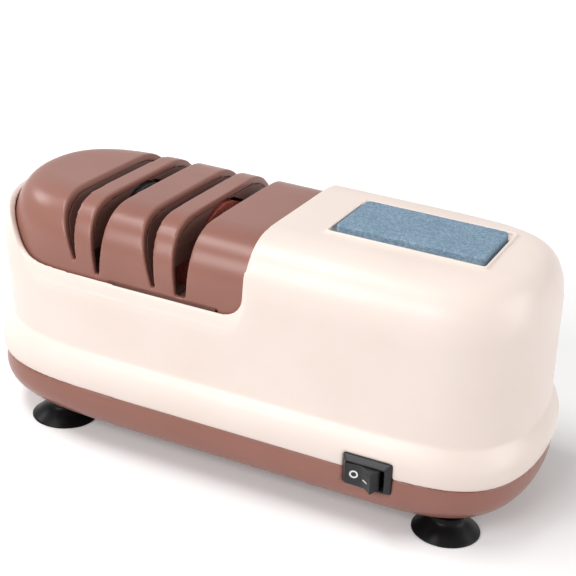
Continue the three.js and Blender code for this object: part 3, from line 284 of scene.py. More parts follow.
def block_form(name, low, high):
    (x0, y0, z0), (x1, y1, z1) = low, high
    return closed_form(name, [[(x0, y0, z), (x1, y0, z), (x1, y1, z), (x0, y1, z)]
                              for z in (z0, z1)])


def round_ring(radius, x, y, z, sides):
    """A level circle round one place of the plan"""
    turns = [2 * math.pi * i / sides for i in range(sides)]
    return [(x + radius * math.cos(turn), y + radius * math.sin(turn), z) for turn in turns]


def post_form(name, radius, z0, z1, x, y):
    return closed_form(name, [round_ring(radius, x, y, z, post_sides) for z in (z0, z1)])


def carve(body, cutter, way="DIFFERENCE"):
    """Cuts one form out of another, or joins it on, and keeps the result as plain mesh"""
    step = body.modifiers.new("carve", "BOOLEAN")
    step.operation = way
    step.solver = "EXACT"
    step.object = cutter
    result = bpy.data.meshes.new_from_object(
        body.evaluated_get(bpy.context.evaluated_depsgraph_get()))
    body.modifiers.clear()
    body.data = result
    bpy.data.objects.remove(cutter)


def round_over(body, cell, rounds, keep=1.0):
    """Breaks every edge softly, as the polished steel of a mould leaves it"""
    skin = body.modifiers.new("moulded_skin", "REMESH")
    skin.mode = "VOXEL"
    skin.voxel_size = cell * mm
    skin.use_smooth_shade = True
    ease = body.modifiers.new("eased_edges", "SMOOTH")
    ease.factor = 0.5
    ease.iterations = rounds
    if keep < 1:
        thin = body.modifiers.new("fewer_faces", "DECIMATE")
        thin.ratio = keep


housing = closed_form("housing_shell", [
    *[shell_ring(border_height + (crease_height - border_height) * rise, crease_inset * bulge)
      for rise, bulge in smooth_row(skirt_bulge, 3)],
    *[shell_ring(crease_height + (wall_top_height - crease_height) * i / wall_rings,
                 crease_inset + (wall_inset - crease_inset) * i / wall_rings)
      for i in range(1, wall_rings + 1)],
    *shoulder(wall_top_height, housing_top, wall_inset, top_draw_ends, top_draw_sides)])
carve(housing, closed_form("housing_room", [
    shell_ring(room_low, housing_wall), shell_ring(skirt_room_top, housing_wall),
    shell_ring(crease_height, crease_inset + housing_wall),
    shell_ring(wall_top_height, wall_inset + housing_wall),
    *shoulder(wall_top_height, housing_top - housing_wall, wall_inset + housing_wall,
              room_draw_ends, top_draw_sides)]))

# The window in the housing: its lower edge is level beside the wheels, turns up round a corner at
# the right and bends up towards the left end. From its crest the sill falls away outwards.
window_left, window_right, window_low, window_corner = -84, 4.8, 72.2, 8
rim_length, rim_rise = 32, 19.3
sill_drop, sill_side = 8, 3.2
rim_steps, sill_steps, corner_steps = 5, 12, 16
rim_bend = [(0, 0, 1), (0.22, 0.06, 0.7), (0.38, 0.24, 0.4), (0.52, 0.5, 0.15), (0.68, 0.75, 0),
            (0.84, 0.93, 0), (1, 1, 0)]
sill_section = [*smooth_row([(8, 0.16), (7.1, 0.15), (6.8, 0.05), (6.4, 0), (5.9, 0.08),
                             (5.2, 0.38), (4.5, 0.76), (4, 1)], 3), (-12, 1)]


def window_ring(side, inset, spread):
    """The window's outline at one depth in the wall, opening out into the sill"""
    hub_x, hub_z = window_right - window_corner, window_low + window_corner
    reach_x, reach_z = window_corner + sill_side * spread, window_corner + sill_drop * spread
    outline = [(window_left - rim_length * along,
                window_low + rim_rise * rise - sill_drop * spread * drop)
               for along, rise, drop in smooth_row(rim_bend, rim_steps)][::-1]
    outline += [(window_left + (hub_x - window_left) * i / sill_steps,
                 window_low - sill_drop * spread) for i in range(1, sill_steps)]
    outline += [(hub_x + reach_x * math.sin(math.pi / 2 * i / corner_steps),
                 hub_z - reach_z * math.cos(math.pi / 2 * i / corner_steps))
                for i in range(corner_steps + 1)]
    outline += [(hub_x + reach_x, beyond_top), (beyond_left, beyond_top),
                (beyond_left, window_low + rim_rise)]
    return [(x, side * shell_side(x, inset, z), z) for x, z in outline]


carve(housing, closed_form("window_cutter", [
    *[window_ring(-1, inset, spread) for inset, spread in sill_section[::-1]],
    *[window_ring(1, inset, spread) for inset, spread in sill_section]]))

# What is moulded into the housing: the framed recess of the stone in its top, four posts for
# the screws, the ledge that carries the guide cover, and the openings of switch and inlet. The
# forms that cut an opening run on well past the wall.
pocket_floor, recess_floor, frame_top, frame_floor_depth = 98.37, 102.4, 104.1, 2
stone_low, stone_high = [Vector(corner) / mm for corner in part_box("whetstone")]
stone_low.y -= plan_middle
stone_high.y -= plan_middle


def stone_block(name, margin_x, margin_y, z0, z1):
    """A block round the place of the stone"""
    return block_form(name, (stone_low.x - margin_x, stone_low.y - margin_y, z0),
                      (stone_high.x + margin_x, stone_high.y + margin_y, z1))


carve(housing, stone_block("recess_frame", 2.3, 4.4, pocket_floor - frame_floor_depth,
                           frame_top), "UNION")
carve(housing, stone_block("recess_floor", 1.3, 3.4, recess_floor, beyond_top))
carve(housing, stone_block("recess_pocket", 0.3, 0.3, pocket_floor, beyond_top))
post_radius, screw_bore, post_inset = 4.4, 1.9, 8.6
post_foot, post_top, bore_end = 30.3, 60, 44
post_places = [(post_x, post_side * shell_side(post_x, post_inset, border_height))
               for post_x in (-52, 34) for post_side in (-1, 1)]
for post_x, post_y in post_places:
    carve(housing, post_form("housing_post", post_radius, post_foot, post_top, post_x, post_y),
          "UNION")
    carve(housing, post_form("housing_post_bore", screw_bore, room_low, bore_end, post_x, post_y))
ledge_low, ledge_top, ledge_outside, ledge_inside, cover_right = 64, 66.6, 4.32, 10.8, 8
ledge = closed_form("cover_ledge", [shell_ring(ledge_low, ledge_outside),
                                    shell_ring(ledge_top, ledge_outside)])
carve(ledge, closed_form("ledge_room", [shell_ring(60, ledge_inside),
                                        shell_ring(70, ledge_inside)]))
carve(ledge, block_form("ledge_end", (cover_right, -beyond_side, 50), (120, beyond_side, 80)))
carve(housing, ledge, "UNION")
switch_x, switch_face, switch_height, switch_lean = 64, 53.4735, 26.1, math.radians(9.2)
switch_seat = Matrix.Translation((switch_x * mm, (plan_middle - switch_face) * mm,
                                  switch_height * mm)) @ Matrix.Rotation(switch_lean, 4, "X")
inlet_x, inlet_height, inlet_half_x, inlet_half_z = 64, 55, 9.9, 6.1


def switch_block(name, half_x, half_z, y0, y1):
    """A block in the switch's own frame, which leans back with the front of the shell"""
    body = block_form(name, (-half_x, y0 - plan_middle, -half_z),
                      (half_x, y1 - plan_middle, half_z))
    body.data.transform(switch_seat)
    return body


def cut_switch_opening(body):
    """The shallow seat of the switch's frame, and the hole behind it for its body"""
    carve(body, switch_block("switch_seat", half_x=10.1, half_z=7.2, y0=-6, y1=0.3))
    carve(body, switch_block("switch_hole", half_x=9.2, half_z=6.25, y0=-6, y1=14))


cut_switch_opening(housing)
carve(housing, block_form(
    "inlet_hole", (inlet_x - inlet_half_x, 0, inlet_height - inlet_half_z),
    (inlet_x + inlet_half_x, beyond_side, inlet_height + inlet_half_z)))
round_over(housing, cell=0.55, rounds=6, keep=0.6)
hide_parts("upper_housing")
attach(housing, "machine")

# The raised bead round the recess of the stone, rounded in section and moulded in one with the
# housing. Both have the same cream finish.
bead_margin_x, bead_margin_y, bead_corner = 2.5, 4.6, 2.4
bead_section = [(0, 103), (0, 104.1), (0.1, 104.4), (0.35, 104.6), (0.85, 104.6), (1.1, 104.4),
                (1.2, 104.1), (1.2, 102.7)]


def rounded_ring(low, high, draw, corner, z):
    """A level rectangle with rounded corners, drawn in from two corners of a box"""
    ring = []
    for side_x, side_y, start in ((1, 1, 0), (-1, 1, 90), (-1, -1, 180), (1, -1, 270)):
        hub_x = (high.x if side_x > 0 else low.x) - side_x * (draw + corner)
        hub_y = (high.y if side_y > 0 else low.y) - side_y * (draw + corner)
        for step in range(9):
            turn = math.radians(start + 90 * step / 8)
            ring.append((hub_x + corner * math.cos(turn), hub_y + corner * math.sin(turn), z))
    return ring


bead_low = Vector((stone_low.x - bead_margin_x, stone_low.y - bead_margin_y, 0))
bead_high = Vector((stone_high.x + bead_margin_x, stone_high.y + bead_margin_y, 0))
recess_bead = closed_form("recess_bead", [
    rounded_ring(bead_low, bead_high, draw, bead_corner - draw, z) for draw, z in bead_section],
    looped=True)
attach(recess_bead, "machine")


grain_low, grain_high = 0.3, 0.7


def new_finish(name):
    """A new material, with its tree of nodes and its shader"""
    finish = bpy.data.materials.new(name)
    finish.use_nodes = True
    tree = finish.node_tree
    return finish, tree, tree.nodes["Principled BSDF"]


def grain(tree, scale, detail=2.0, stretch=None):
    """Noise in the object's own metres, most of it between grain_low and grain_high; a high scale
    gives a fine grain, and a stretch draws it out into lines"""
    noise = tree.nodes.new("ShaderNodeTexNoise")
    noise.inputs["Scale"].default_value = scale
    noise.inputs["Detail"].default_value = detail
    place = own_place(tree)
    if stretch:
        pull = tree.nodes.new("ShaderNodeMapping")
        pull.inputs["Scale"].default_value = stretch
        tree.links.new(place, pull.inputs["Vector"])
        place = pull.outputs["Vector"]
    tree.links.new(place, noise.inputs["Vector"])
    return noise.outputs["Fac"]


def two_tone(tree, factor, low, high, dark, light):
    """Two colours, mixed over a span of a grain"""
    ramp = tree.nodes.new("ShaderNodeValToRGB")
    ramp.color_ramp.elements[0].position = low
    ramp.color_ramp.elements[0].color = (*dark, 1)
    ramp.color_ramp.elements[1].position = high
    ramp.color_ramp.elements[1].color = (*light, 1)
    tree.links.new(factor, ramp.inputs["Fac"])
    return ramp.outputs["Color"]


def relief(tree, shader, height, depth, strength=1.0):
    """Fine relief on a surface, as deep as depth in metres"""
    bump = tree.nodes.new("ShaderNodeBump")
    bump.inputs["Strength"].default_value = strength
    bump.inputs["Distance"].default_value = depth
    tree.links.new(height, bump.inputs["Height"])
    tree.links.new(bump.outputs["Normal"], shader.inputs["Normal"])


def moulded_plastic(name, dark, light, smoothest, roughest, texture_depth, shine=0.5):
    """Moulded plastic: a cloudy tone a few percent deep, gloss that wanders, a fine spark grain"""
    finish, tree, shader = new_finish(name)
    cloud = grain(tree, scale=22, detail=4)
    wander = grain(tree, scale=60, detail=3)
    tree.links.new(two_tone(tree, cloud, 0.32, 0.68, dark, light), shader.inputs["Base Color"])
    tree.links.new(span(tree, wander, grain_low, grain_high, smoothest, roughest),
                   shader.inputs["Roughness"])
    shader.inputs["Specular IOR Level"].default_value = shine
    relief(tree, shader, grain(tree, scale=1900, detail=2), texture_depth)
    return finish


cream_plastic = moulded_plastic(
    "cream_plastic", dark=(0.86, 0.727, 0.655), light=(0.895, 0.77, 0.703),
    smoothest=0.33, roughest=0.41, texture_depth=0.00001)
housing.data.materials.append(cream_plastic)
recess_bead.data.materials.append(cream_plastic)

# The base tray: a shallow brown dish of the same plastic, 2.5 mm thick, with a hull that turns
# under all round. Its upright lip keys into the housing, and four posts take the housing screws.
tray_wall, tray_inset, tray_top = 2.5, 0.4, 26.1
bend_height, hull_bend = 21, 12.5
lip_top, lip_foot_inset, lip_inset, lip_inside = 30, 2, 2.8, 4.6
under, sink_radius, sink_floor = 2, 3.3, 17.8
bracket_places = ((-8.75, -13), (-8.75, 13), (-92.75, -13), (-92.75, 13))


def dish(name, top, inset, bend, steps):
    """The hull's form: upright at the rim, and turned under below it by a quarter round"""
    quarter = [math.pi / 2 * i / steps for i in range(1, steps + 1)]
    return closed_form(name, [
        shell_ring(top, inset), shell_ring(bend_height, inset),
        *[shell_ring(bend_height - bend * math.sin(turn), inset + bend * (1 - math.cos(turn)))
          for turn in quarter]])


tray = dish("tray_dish", tray_top, tray_inset, hull_bend, 16)
carve(tray, dish("tray_room", lip_top, tray_inset + tray_wall, hull_bend - tray_wall, 8))
lip = closed_form("tray_lip", [
    shell_ring(bend_height, lip_foot_inset), shell_ring(tray_top, lip_foot_inset),
    shell_ring(tray_top, lip_inset), shell_ring(lip_top, lip_inset)])
carve(lip, closed_form("lip_room", [shell_ring(15, lip_inside), shell_ring(36, lip_inside)]))
carve(tray, lip, "UNION")
for post_x, post_y in post_places:
    carve(tray, post_form("tray_post", post_radius, 14, lip_top, post_x, post_y), "UNION")
    carve(tray, post_form("tray_post_sink", sink_radius, under, sink_floor, post_x, post_y))
    carve(tray, post_form("tray_post_bore", screw_bore, under, 40, post_x, post_y))
for bracket_x, bracket_y in bracket_places:
    carve(tray, post_form("bracket_bore", screw_bore, under, 20, bracket_x, bracket_y))
cut_switch_opening(tray)
round_over(tray, cell=0.9, rounds=5)
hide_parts("base_tray")
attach(tray, "machine")
brown_plastic = moulded_plastic(
    "brown_plastic", dark=(0.282, 0.118, 0.09), light=(0.316, 0.137, 0.105),
    smoothest=0.28, roughest=0.32, texture_depth=0.000003, shine=0.38)
tray.data.materials.append(brown_plastic)

# The guide cover: a brown half dome over the wheels, 2.7 mm thick, set into the window on its
# ledge. Four slots are cut through it, two beside each wheel, that lead an edge down to the grit.
cover_inset, cover_wall, cover_top = 7.4, 2.7, 100.5
cover_draw_ends, cover_draw_sides = 13, 27.4
room_inset, room_top = cover_inset + cover_wall, cover_top - cover_wall
cover_bottom = 66.9
notch_left, notch_right, notch_inside, notch_low, notch_top = -53.9, -5.5, 34, 70.9, 72.4
slots_top = 102
slot_lines = [((-69.9, -69, 76.6), (-81.7, -73.9)), ((-60, -58.3, 73.6), (-66.5, -58.3)),
              ((-34.7, -33.2, 74.2), (-44.6, -37.7)), ((-24.3, -19.7, 73.4), (-29.2, -19.7))]
cover = closed_form("guide_dome", [
    *[shell_ring(z, cover_inset) for z in (cover_bottom, notch_low, wall_top_height)],
    *shoulder(wall_top_height, cover_top, cover_inset, cover_draw_ends, cover_draw_sides)])
carve(cover, closed_form("dome_room", [
    *[shell_ring(z, room_inset) for z in (60, wall_top_height)],
    *shoulder(wall_top_height, room_top, room_inset, cover_draw_ends, cover_draw_sides)]))
carve(cover, block_form("dome_end", (cover_right, -beyond_side, 50),
                        (125, beyond_side, beyond_top)))
for (low_left, low_right, low_z), (top_left, top_right) in slot_lines:
    slot_corners = [(low_left, low_z), (low_right, low_z), (top_right, slots_top),
                    (top_left, slots_top)]
    carve(cover, closed_form("slot_cutter", [[(x, y, z) for x, z in slot_corners]
                                             for y in (-beyond_side, beyond_side)]))
for side in (-1, 1):
    near, far = sorted((side * notch_inside, side * beyond_side))
    carve(cover, block_form("lip_notch", (notch_left, near, notch_low),
                            (notch_right, far, notch_top)))
round_over(cover, cell=0.5, rounds=7)
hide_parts("guide_cover")
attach(cover, "machine")
cover.data.materials.append(brown_plastic)

# The guide frame: the walls inside the four slots, on a thin deck that hangs below the cover,
# moulded in the same brown but left dull, and coloured darker as painted shade for the inside of
# the slots. Beside each wheel a wall is open low down at the front and back, so that the grit is
# seen through the slot.
grit_gaps = ((-27.5, -24.4), (-63.5, -60.1))
gap_reaches = ((-45.5, -20), (20, 45.5))
gap_low, gap_top = 73.4, 90
weld_distance = 0.000004
sharp_angle = math.radians(32)


def even_shading():
    """Smooth shading over the small turns of a faceted surface, sharp over its real edges"""
    group = bpy.data.node_groups.new("even_shading", "GeometryNodeTree")
    for way in ("INPUT", "OUTPUT"):
        group.interface.new_socket("Geometry", in_out=way, socket_type="NodeSocketGeometry")
    start = group.nodes.new("NodeGroupInput")
    weld = group.nodes.new("GeometryNodeMergeByDistance")
    weld.inputs["Distance"].default_value = weld_distance
    bare = group.nodes.new("GeometryNodeRemoveAttribute")
    bare.inputs["Name"].default_value = "custom_normal"
    faces = group.nodes.new("GeometryNodeSetShadeSmooth")
    turn = group.nodes.new("GeometryNodeInputMeshEdgeAngle")
    sharp = group.nodes.new("FunctionNodeCompare")
    sharp.operation = "GREATER_THAN"
    sharp.inputs["B"].default_value = sharp_angle
    edges = group.nodes.new("GeometryNodeSetShadeSmooth")
    edges.domain = "EDGE"
    edges.inputs["Shade Smooth"].default_value = False
    end = group.nodes.new("NodeGroupOutput")
    flow = start.outputs[0]
    for stage in (weld, bare, faces, edges):
        group.links.new(flow, stage.inputs["Geometry"])
        flow = stage.outputs["Geometry"]
    group.links.new(turn.outputs["Unsigned Angle"], sharp.inputs["A"])
    group.links.new(sharp.outputs["Result"], edges.inputs["Selection"])
    group.links.new(flow, end.inputs[0])
    return group


part_shading = even_shading()


def shade_evenly(body):
    body.modifiers.new("even_shading", "NODES").node_group = part_shading


guide_walls = bpy.data.objects.new("guide_walls", bpy.data.meshes.new_from_object(
    nodes["guide_frame"]))
bpy.context.scene.collection.objects.link(guide_walls)
for wall_left, wall_right in grit_gaps:
    for near, far in gap_reaches:
        carve(guide_walls, block_form("grit_opening", (wall_left, near, gap_low),
                                      (wall_right, far, gap_top)))
# Darker than the cover's brown: painted shade for the inside of the slots.
guide_plastic_painted_shade = moulded_plastic(
    "guide_plastic_painted_shade", dark=(0.16, 0.075, 0.06), light=(0.2, 0.096, 0.078),
    smoothest=0.5, roughest=0.6, texture_depth=0.00002)
guide_walls.data.materials.clear()
guide_walls.data.materials.append(guide_plastic_painted_shade)
if "custom_normal" in guide_walls.data.attributes:
    guide_walls.data.attributes.remove(guide_walls.data.attributes["custom_normal"])
shade_evenly(guide_walls)
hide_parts("guide_frame")
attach(guide_walls, "machine")

# The whetstone: a bar of blue grey aluminium oxide, fine and even in grain, coloured paler along
# its sharp edges. It lies loose in its pocket and stands 2.5 mm above the top of the housing.
stone_corner = 2.6
stone_section = [(0.3, stone_low.z), (0, stone_low.z + 0.3), (0, stone_high.z - 0.9),
                 (0.2, stone_high.z - 0.4), (0.7, stone_high.z - 0.05), (0.9, stone_high.z)]
stone = closed_form("sharpening_stone", [
    rounded_ring(stone_low, stone_high, draw, stone_corner - draw, z)
    for draw, z in stone_section])
round_over(stone, cell=0.45, rounds=1)
stone_grit = bpy.data.textures.new("stone_grit", "CLOUDS")
stone_grit.noise_scale = 0.0009
stone_grit.noise_depth = 1
pitted = stone.modifiers.new("open_grain", "DISPLACE")
pitted.texture = stone_grit
pitted.texture_coords = "GLOBAL"
pitted.strength = 0.00022
pitted.mid_level = 1
stone_look, tree, shader = new_finish("whetstone_grain")
specks = tree.nodes.new("ShaderNodeTexVoronoi")
specks.inputs["Scale"].default_value = 1500
tree.links.new(own_place(tree), specks.inputs["Vector"])
stone_body = two_tone(tree, grain(tree, 90, 6), 0.3, 0.7,
                      dark=(0.17, 0.268, 0.36), light=(0.24, 0.352, 0.457))
crystals = two_tone(tree, specks.outputs["Color"], 0.2, 0.95,
                    dark=(0.125, 0.207, 0.29), light=(0.375, 0.495, 0.59))
stone_mix = tree.nodes.new("ShaderNodeMix")
stone_mix.data_type = "RGBA"
stone_mix.inputs["Factor"].default_value = 0.55
tree.links.new(stone_body, stone_mix.inputs["A"])
tree.links.new(crystals, stone_mix.inputs["B"])
# Paler along the sharp edges, where the surface is most pointed.
edge_geometry = tree.nodes.new("ShaderNodeNewGeometry")
pale_edge_mix = tree.nodes.new("ShaderNodeMix")
pale_edge_mix.data_type = "RGBA"
pale_edge_mix.inputs["B"].default_value = (0.5, 0.62, 0.7, 1)
tree.links.new(span(tree, edge_geometry.outputs["Pointiness"], start=0.52, end=0.62, low=0, high=0.7),
               pale_edge_mix.inputs["Factor"])
tree.links.new(stone_mix.outputs["Result"], pale_edge_mix.inputs["A"])
tree.links.new(pale_edge_mix.outputs["Result"], shader.inputs["Base Color"])
shader.inputs["Roughness"].default_value = 0.93
shader.inputs["Specular IOR Level"].default_value = 0.3
relief(tree, shader, grain(tree, 2600, 3), depth=0.0002, strength=0.8)
stone.data.materials.append(stone_look)
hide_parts("whetstone")
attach(stone, "machine")

# The two grinding wheels: bonded grit on a hub, brick red and coarse at the right, black, fine
# and ridged at the left. Both are clamped on the spindle between its collar and the nut.


def dress(material, *names):
    """Gives solids of the part their finish and their even shading"""
    for name in names:
        for slot in nodes[name].material_slots:
            slot.material = material
        shade_evenly(nodes[name])


def grit(name, dark, light, sparkle, cell, depth):
    """Bonded grinding grit: crystals in a matrix, a few of them bright, with pores between"""
    finish, tree, shader = new_finish(name)
    crystals = tree.nodes.new("ShaderNodeTexVoronoi")
    crystals.inputs["Scale"].default_value = 1 / cell
    tree.links.new(own_place(tree), crystals.inputs["Vector"])
    tone = two_tone(tree, crystals.outputs["Color"], 0.1, 0.9, dark, light)
    bright = two_tone(tree, crystals.outputs["Color"], 0.9, 0.94, (0, 0, 0), sparkle)
    both = tree.nodes.new("ShaderNodeMix")
    both.data_type = "RGBA"
    both.blend_type = "ADD"
    both.inputs["Factor"].default_value = 1
    tree.links.new(tone, both.inputs["A"])
    tree.links.new(bright, both.inputs["B"])
    tree.links.new(both.outputs["Result"], shader.inputs["Base Color"])
    shader.inputs["Roughness"].default_value = 0.82
    relief(tree, shader, crystals.outputs["Distance"], depth)
    return finish


red_grit = grit("red_grit", dark=(0.42, 0.085, 0.06), light=(0.62, 0.15, 0.11),
                sparkle=(0.3, 0.25, 0.22), cell=0.0007, depth=0.0003)
black_grit = grit("black_grit", dark=(0.012, 0.012, 0.014), light=(0.05, 0.05, 0.055),
                  sparkle=(0.12, 0.12, 0.13), cell=0.0004, depth=0.00015)
dress(red_grit, "coarse_wheel")
dress(black_grit, "fine_wheel")

# The spindle and what turns or stands with it: a ground steel shaft with its spacer and hexagon
# nut, a pair of sealed bearings in pressed brackets, and the brass coupling to the motor.


def turned_metal(name, dark, light, smoothest, roughest, stretch):
    """Bare metal with the fine lines of the tool that cut or rolled it"""
    finish, tree, shader = new_finish(name)
    shader.inputs["Metallic"].default_value = 1
    lines = grain(tree, scale=40, detail=5, stretch=stretch)
    tree.links.new(two_tone(tree, lines, grain_low, grain_high, dark, light),
                   shader.inputs["Base Color"])
    tree.links.new(span(tree, lines, grain_low, grain_high, smoothest, roughest),
                   shader.inputs["Roughness"])
    relief(tree, shader, lines, depth=0.00001)
    return finish


ground_steel = turned_metal("ground_steel", dark=(0.5, 0.5, 0.51), light=(0.66, 0.66, 0.67),
                            smoothest=0.28, roughest=0.38, stretch=(60, 1, 1))
pressed_steel = turned_metal("pressed_steel", dark=(0.2, 0.205, 0.215), light=(0.3, 0.305, 0.315),
                             smoothest=0.36, roughest=0.5, stretch=(1, 1, 12))
turned_brass = turned_metal("turned_brass", dark=(0.5, 0.36, 0.13), light=(0.66, 0.5, 0.2),
                            smoothest=0.28, roughest=0.4, stretch=(50, 1, 1))
dress(ground_steel, "spindle_shaft", "wheel_spacer", "retaining_nut")
dress(pressed_steel, "inner_bearing", "outer_bearing", "inner_bearing_bracket",
      "outer_bearing_bracket")
dress(turned_brass, "shaft_coupling")

# The motor: a drawn steel can with two ferrite magnets and a turned armature, closed by a black
# moulded end cap, held down on its folded cradle by two steel straps.
ferrite = moulded_plastic(
    "ferrite", dark=(0.035, 0.034, 0.036), light=(0.06, 0.058, 0.06),
    smoothest=0.6, roughest=0.75, texture_depth=0.00004)
cap_plastic = moulded_plastic(
    "cap_plastic", dark=(0.014, 0.014, 0.016), light=(0.026, 0.026, 0.028),
    smoothest=0.4, roughest=0.5, texture_depth=0.00003)
dress(pressed_steel, "motor_can", "motor_cradle")
dress(ferrite, "motor_magnet_front", "motor_magnet_back")
dress(ground_steel, "motor_rotor", "motor_strap_left", "motor_strap_right")
dress(cap_plastic, "motor_end_cap")

# The rocker switch: a black nylon frame with a broad sloping face, snapped into the front across
# the seam, with brass terminals behind. The rocker stands in its well with the O end in and the
# other end out, which is off.
nylon = moulded_plastic(
    "switch_nylon", dark=(0.018, 0.018, 0.02), light=(0.03, 0.03, 0.033),
    smoothest=0.28, roughest=0.36, texture_depth=0.000003, shine=0.25)


def switch_form(name, rings):
    """A form from rings (x, y, z) in the switch's own frame, seated in the shell"""
    body = closed_form(name, [[(x, y - plan_middle, z) for x, y, z in ring] for ring in rings])
    body.data.transform(switch_seat)
    return body


def frame_ring(half_x, half_z, y, corner=0.7):
    """An upright rectangle with rounded corners, at one depth of the switch"""
    ring = []
    for side_x, side_z, start in ((1, 1, 0), (-1, 1, 90), (-1, -1, 180), (1, -1, 270)):
        for step in range(6):
            turn = math.radians(start + 90 * step / 5)
            ring.append((side_x * (half_x - corner) + corner * math.cos(turn), y,
                         side_z * (half_z - corner) + corner * math.sin(turn)))
    return ring


frame_section = [(9.8, 6.9, 0), (9.8, 6.9, -0.85), (9.65, 6.75, -1.1), (8.25, 5.6, -2.9),
                 (8, 5.35, -3)]
bezel = switch_form("switch_frame", [frame_ring(half_x, half_z, y)
                                     for half_x, half_z, y in frame_section])
carve(bezel, switch_form("switch_body", [
    frame_ring(8.9, 5.95, y, corner=0.4) for y in (-0.5, 14)]), "UNION")
carve(bezel, switch_form("switch_well", [
    frame_ring(7.6, 4.95, y, corner=0.3) for y in (-9, 5.2)]))
round_over(bezel, cell=0.2, rounds=2, keep=0.5)
bezel.data.materials.append(nylon)
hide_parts("switch_bezel")
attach(bezel, "machine")

rest_turn = math.radians(14)
pivot_depth = 2
face_half, face_middle, face_gain = 5.5, 5.3, 2.3
key_half_width = 4.65


def rocker_point(x, rise):
    """A point of the rocker's section at rest, leaning with its O end in"""
    return (x * math.cos(rest_turn) - rise * math.sin(rest_turn),
            pivot_depth - (x * math.sin(rest_turn) + rise * math.cos(rest_turn)))


def face_rise(x):
    """How far the rocker's face stands over its pivot: hollow in the middle, high at both ends"""
    return face_middle + face_gain * (abs(x) / face_half) ** 1.5


key_face = [rocker_point(x, face_rise(x)) for x in
            [face_half - 2 * face_half * i / 24 for i in range(25)]]
key_belly = [rocker_point(x, rise) for x, rise in ((-6.7, 3), (-2.5, -2), (2.5, -2), (6.7, 3))]
rocker = switch_form("rocker_key", [[(x, y, z) for x, y in key_face + key_belly]
                                    for z in (-key_half_width, key_half_width)])
round_over(rocker, cell=0.14, rounds=3, keep=0.5)
rocker.data.materials.append(nylon)
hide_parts("switch_rocker")
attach(rocker, "rocker")
dress(turned_brass, "switch_terminal_feed", "switch_terminal_load")

# The marks on the rocker: a ring for off and a bar for on, in white ink, pad printed as a thin
# film on the key's hollow face.
ink, tree, shader = new_finish("white_ink")
tree.links.new(two_tone(tree, grain(tree, 900, 3), 0.3, 0.6,
                        dark=(0.78, 0.78, 0.78), light=(0.88, 0.88, 0.88)),
               shader.inputs["Base Color"])
shader.inputs["Roughness"].default_value = 0.5
ink_lift = 0.04
ink_thickness = 0.00006
ring_x, ring_z, ring_stretch, ring_radii = -2.9, 0.1, 1.15, (1.55, 1.25, 0.95)
bar_x, bar_length, bar_rows = 0.7, 2.5, (-1.5, -1.25, -1)


def printed_mark(name, rows):
    """A thin film of ink through rows of points (along the face, across the face)"""
    film = bmesh.new()
    lines = []
    for row in rows:
        points = [(*rocker_point(x, face_rise(x) + ink_lift), z) for x, z in row]
        lines.append([film.verts.new((x * mm, y * mm, z * mm)) for x, y, z in points])
    for first, second in zip(lines, lines[1:]):
        for i in range(len(first) - 1):
            film.faces.new((first[i], first[i + 1], second[i + 1], second[i]))
    bmesh.ops.remove_doubles(film, verts=film.verts, dist=0.000001)
    bmesh.ops.recalc_face_normals(film, faces=film.faces)
    mark = as_object(name, film)
    mark.data.transform(switch_seat)
    mark.data.materials.append(ink)
    thick = mark.modifiers.new("film", "SOLIDIFY")
    thick.thickness = ink_thickness
    thick.offset = 0
    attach(mark, "rocker")


ring_turns = [2 * math.pi * i / 40 for i in range(41)]
printed_mark("off_ring", [[(ring_x + r * math.cos(t), ring_z + r * ring_stretch * math.sin(t))
                           for t in ring_turns] for r in ring_radii])
printed_mark("on_bar", [[(bar_x + bar_length * i / 10, z) for i in range(11)] for z in bar_rows])

# The power inlet: a black moulded socket with two brass pins, pushed into the back wall from
# outside and stopped by its flange. The mains lead plugs in here.
dress(nylon, "power_inlet")
dress(turned_brass, "inlet_pin_left", "inlet_pin_right")

# The circuit board: glass laminate with copper tracks under green lacquer, a black bridge
# rectifier and a sleeved capacitor on top, resting on two ribs of the tray.
laminate, tree, shader = new_finish("board_laminate")
board_green = two_tone(tree, grain(tree, 500, 2, (1, 1, 0.1)), 0.35, 0.65,
                       dark=(0.02, 0.11, 0.045), light=(0.035, 0.155, 0.065))
tracks = tree.nodes.new("ShaderNodeTexBrick")
tracks.inputs["Scale"].default_value = 140
tracks.inputs["Mortar Size"].default_value = 0.05
tracks.inputs["Mortar"].default_value = (0.06, 0.24, 0.1, 1)
tree.links.new(own_place(tree), tracks.inputs["Vector"])
tree.links.new(board_green, tracks.inputs["Color1"])
tree.links.new(board_green, tracks.inputs["Color2"])
tree.links.new(tracks.outputs["Color"], shader.inputs["Base Color"])
shader.inputs["Roughness"].default_value = 0.38
relief(tree, shader, tracks.outputs["Fac"], depth=0.00004)
sleeve = moulded_plastic(
    "capacitor_sleeve", dark=(0.03, 0.065, 0.17), light=(0.045, 0.09, 0.22),
    smoothest=0.28, roughest=0.36, texture_depth=0.00002)
dress(laminate, "circuit_board")
dress(cap_plastic, "bridge_rectifier")
dress(sleeve, "smoothing_capacitor")

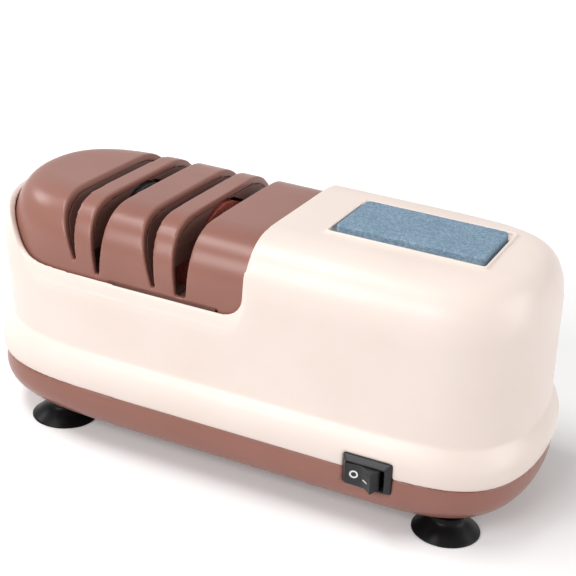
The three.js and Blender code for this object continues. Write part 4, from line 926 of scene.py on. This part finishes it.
# The leads: short lengths of stranded wire in blue insulation between inlet, switch, board and
# motor, crimped at both ends and lying along the tray.
insulation = moulded_plastic(
    "lead_insulation", dark=(0.035, 0.085, 0.24), light=(0.055, 0.12, 0.31),
    smoothest=0.4, roughest=0.52, texture_depth=0.00003)
dress(insulation, "lead_switch_to_board", "lead_inlet_to_board", "lead_inlet_to_switch",
      "lead_board_to_motor")

# The suction cups: four feet moulded in glossy black rubber, a thin flared cup under a thick
# collar, each hung from the tray on a screw through its middle.
rubber, tree, shader = new_finish("cup_rubber")
bloom = grain(tree, 130, 5)
tree.links.new(two_tone(tree, bloom, 0.35, 0.72,
                        dark=(0.005, 0.005, 0.0055), light=(0.011, 0.011, 0.012)),
               shader.inputs["Base Color"])
tree.links.new(span(tree, bloom, grain_low, grain_high, low=0.28, high=0.38),
               shader.inputs["Roughness"])
shader.inputs["Specular IOR Level"].default_value = 0.12
relief(tree, shader, grain(tree, 1200, 2), depth=0.000005)
cup_hollow = smooth_row([(3.2, 3.66), (6.8, 3.2), (10, 1.55), (12.3, 0.05)], 5)
cup_flare = smooth_row([(13.1, 1.0), (10.26, 3.28), (8.2, 4.9), (7.2, 5.9), (6.95, 6.6)], 6)
cup_section = [(1.9, 4.9), (1.9, 3.7), *cup_hollow, (12.6, 0), (13.25, 0), (13.5, 0.2),
               (13.5, 0.55), (13.3, 0.85), *cup_flare, (7.0, 6.9), (7.0, 7.9), (6.7, 8.2),
               (1.9, 8.2)]
cup_places = ((-80.3, -34.5), (91.8, -34.5), (91.8, 34.5), (-80.3, 34.5))
cup_sides = 72
for number, (cup_x, cup_y) in enumerate(cup_places, 1):
    cup = closed_form(f"rubber_cup_{number}", [
        round_ring(radius, cup_x, cup_y, z, cup_sides) for radius, z in cup_section],
        looped=True)
    cup.data.materials.append(rubber)
    shade_evenly(cup)
    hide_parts(f"suction_cup_{number}")
    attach(cup, "machine")

# The screws: plated steel with slotted heads. Four close the housing from below, four hold the
# cups, four the bearing brackets and four the motor straps.
plated = turned_metal("plated_steel", dark=(0.42, 0.42, 0.4), light=(0.6, 0.6, 0.57),
                      smoothest=0.28, roughest=0.4, stretch=(1, 1, 30))
for group in ("housing_screw", "cup_screw", "bracket_screw", "strap_screw"):
    for number in range(1, 5):
        dress(plated, f"{group}_{number}")
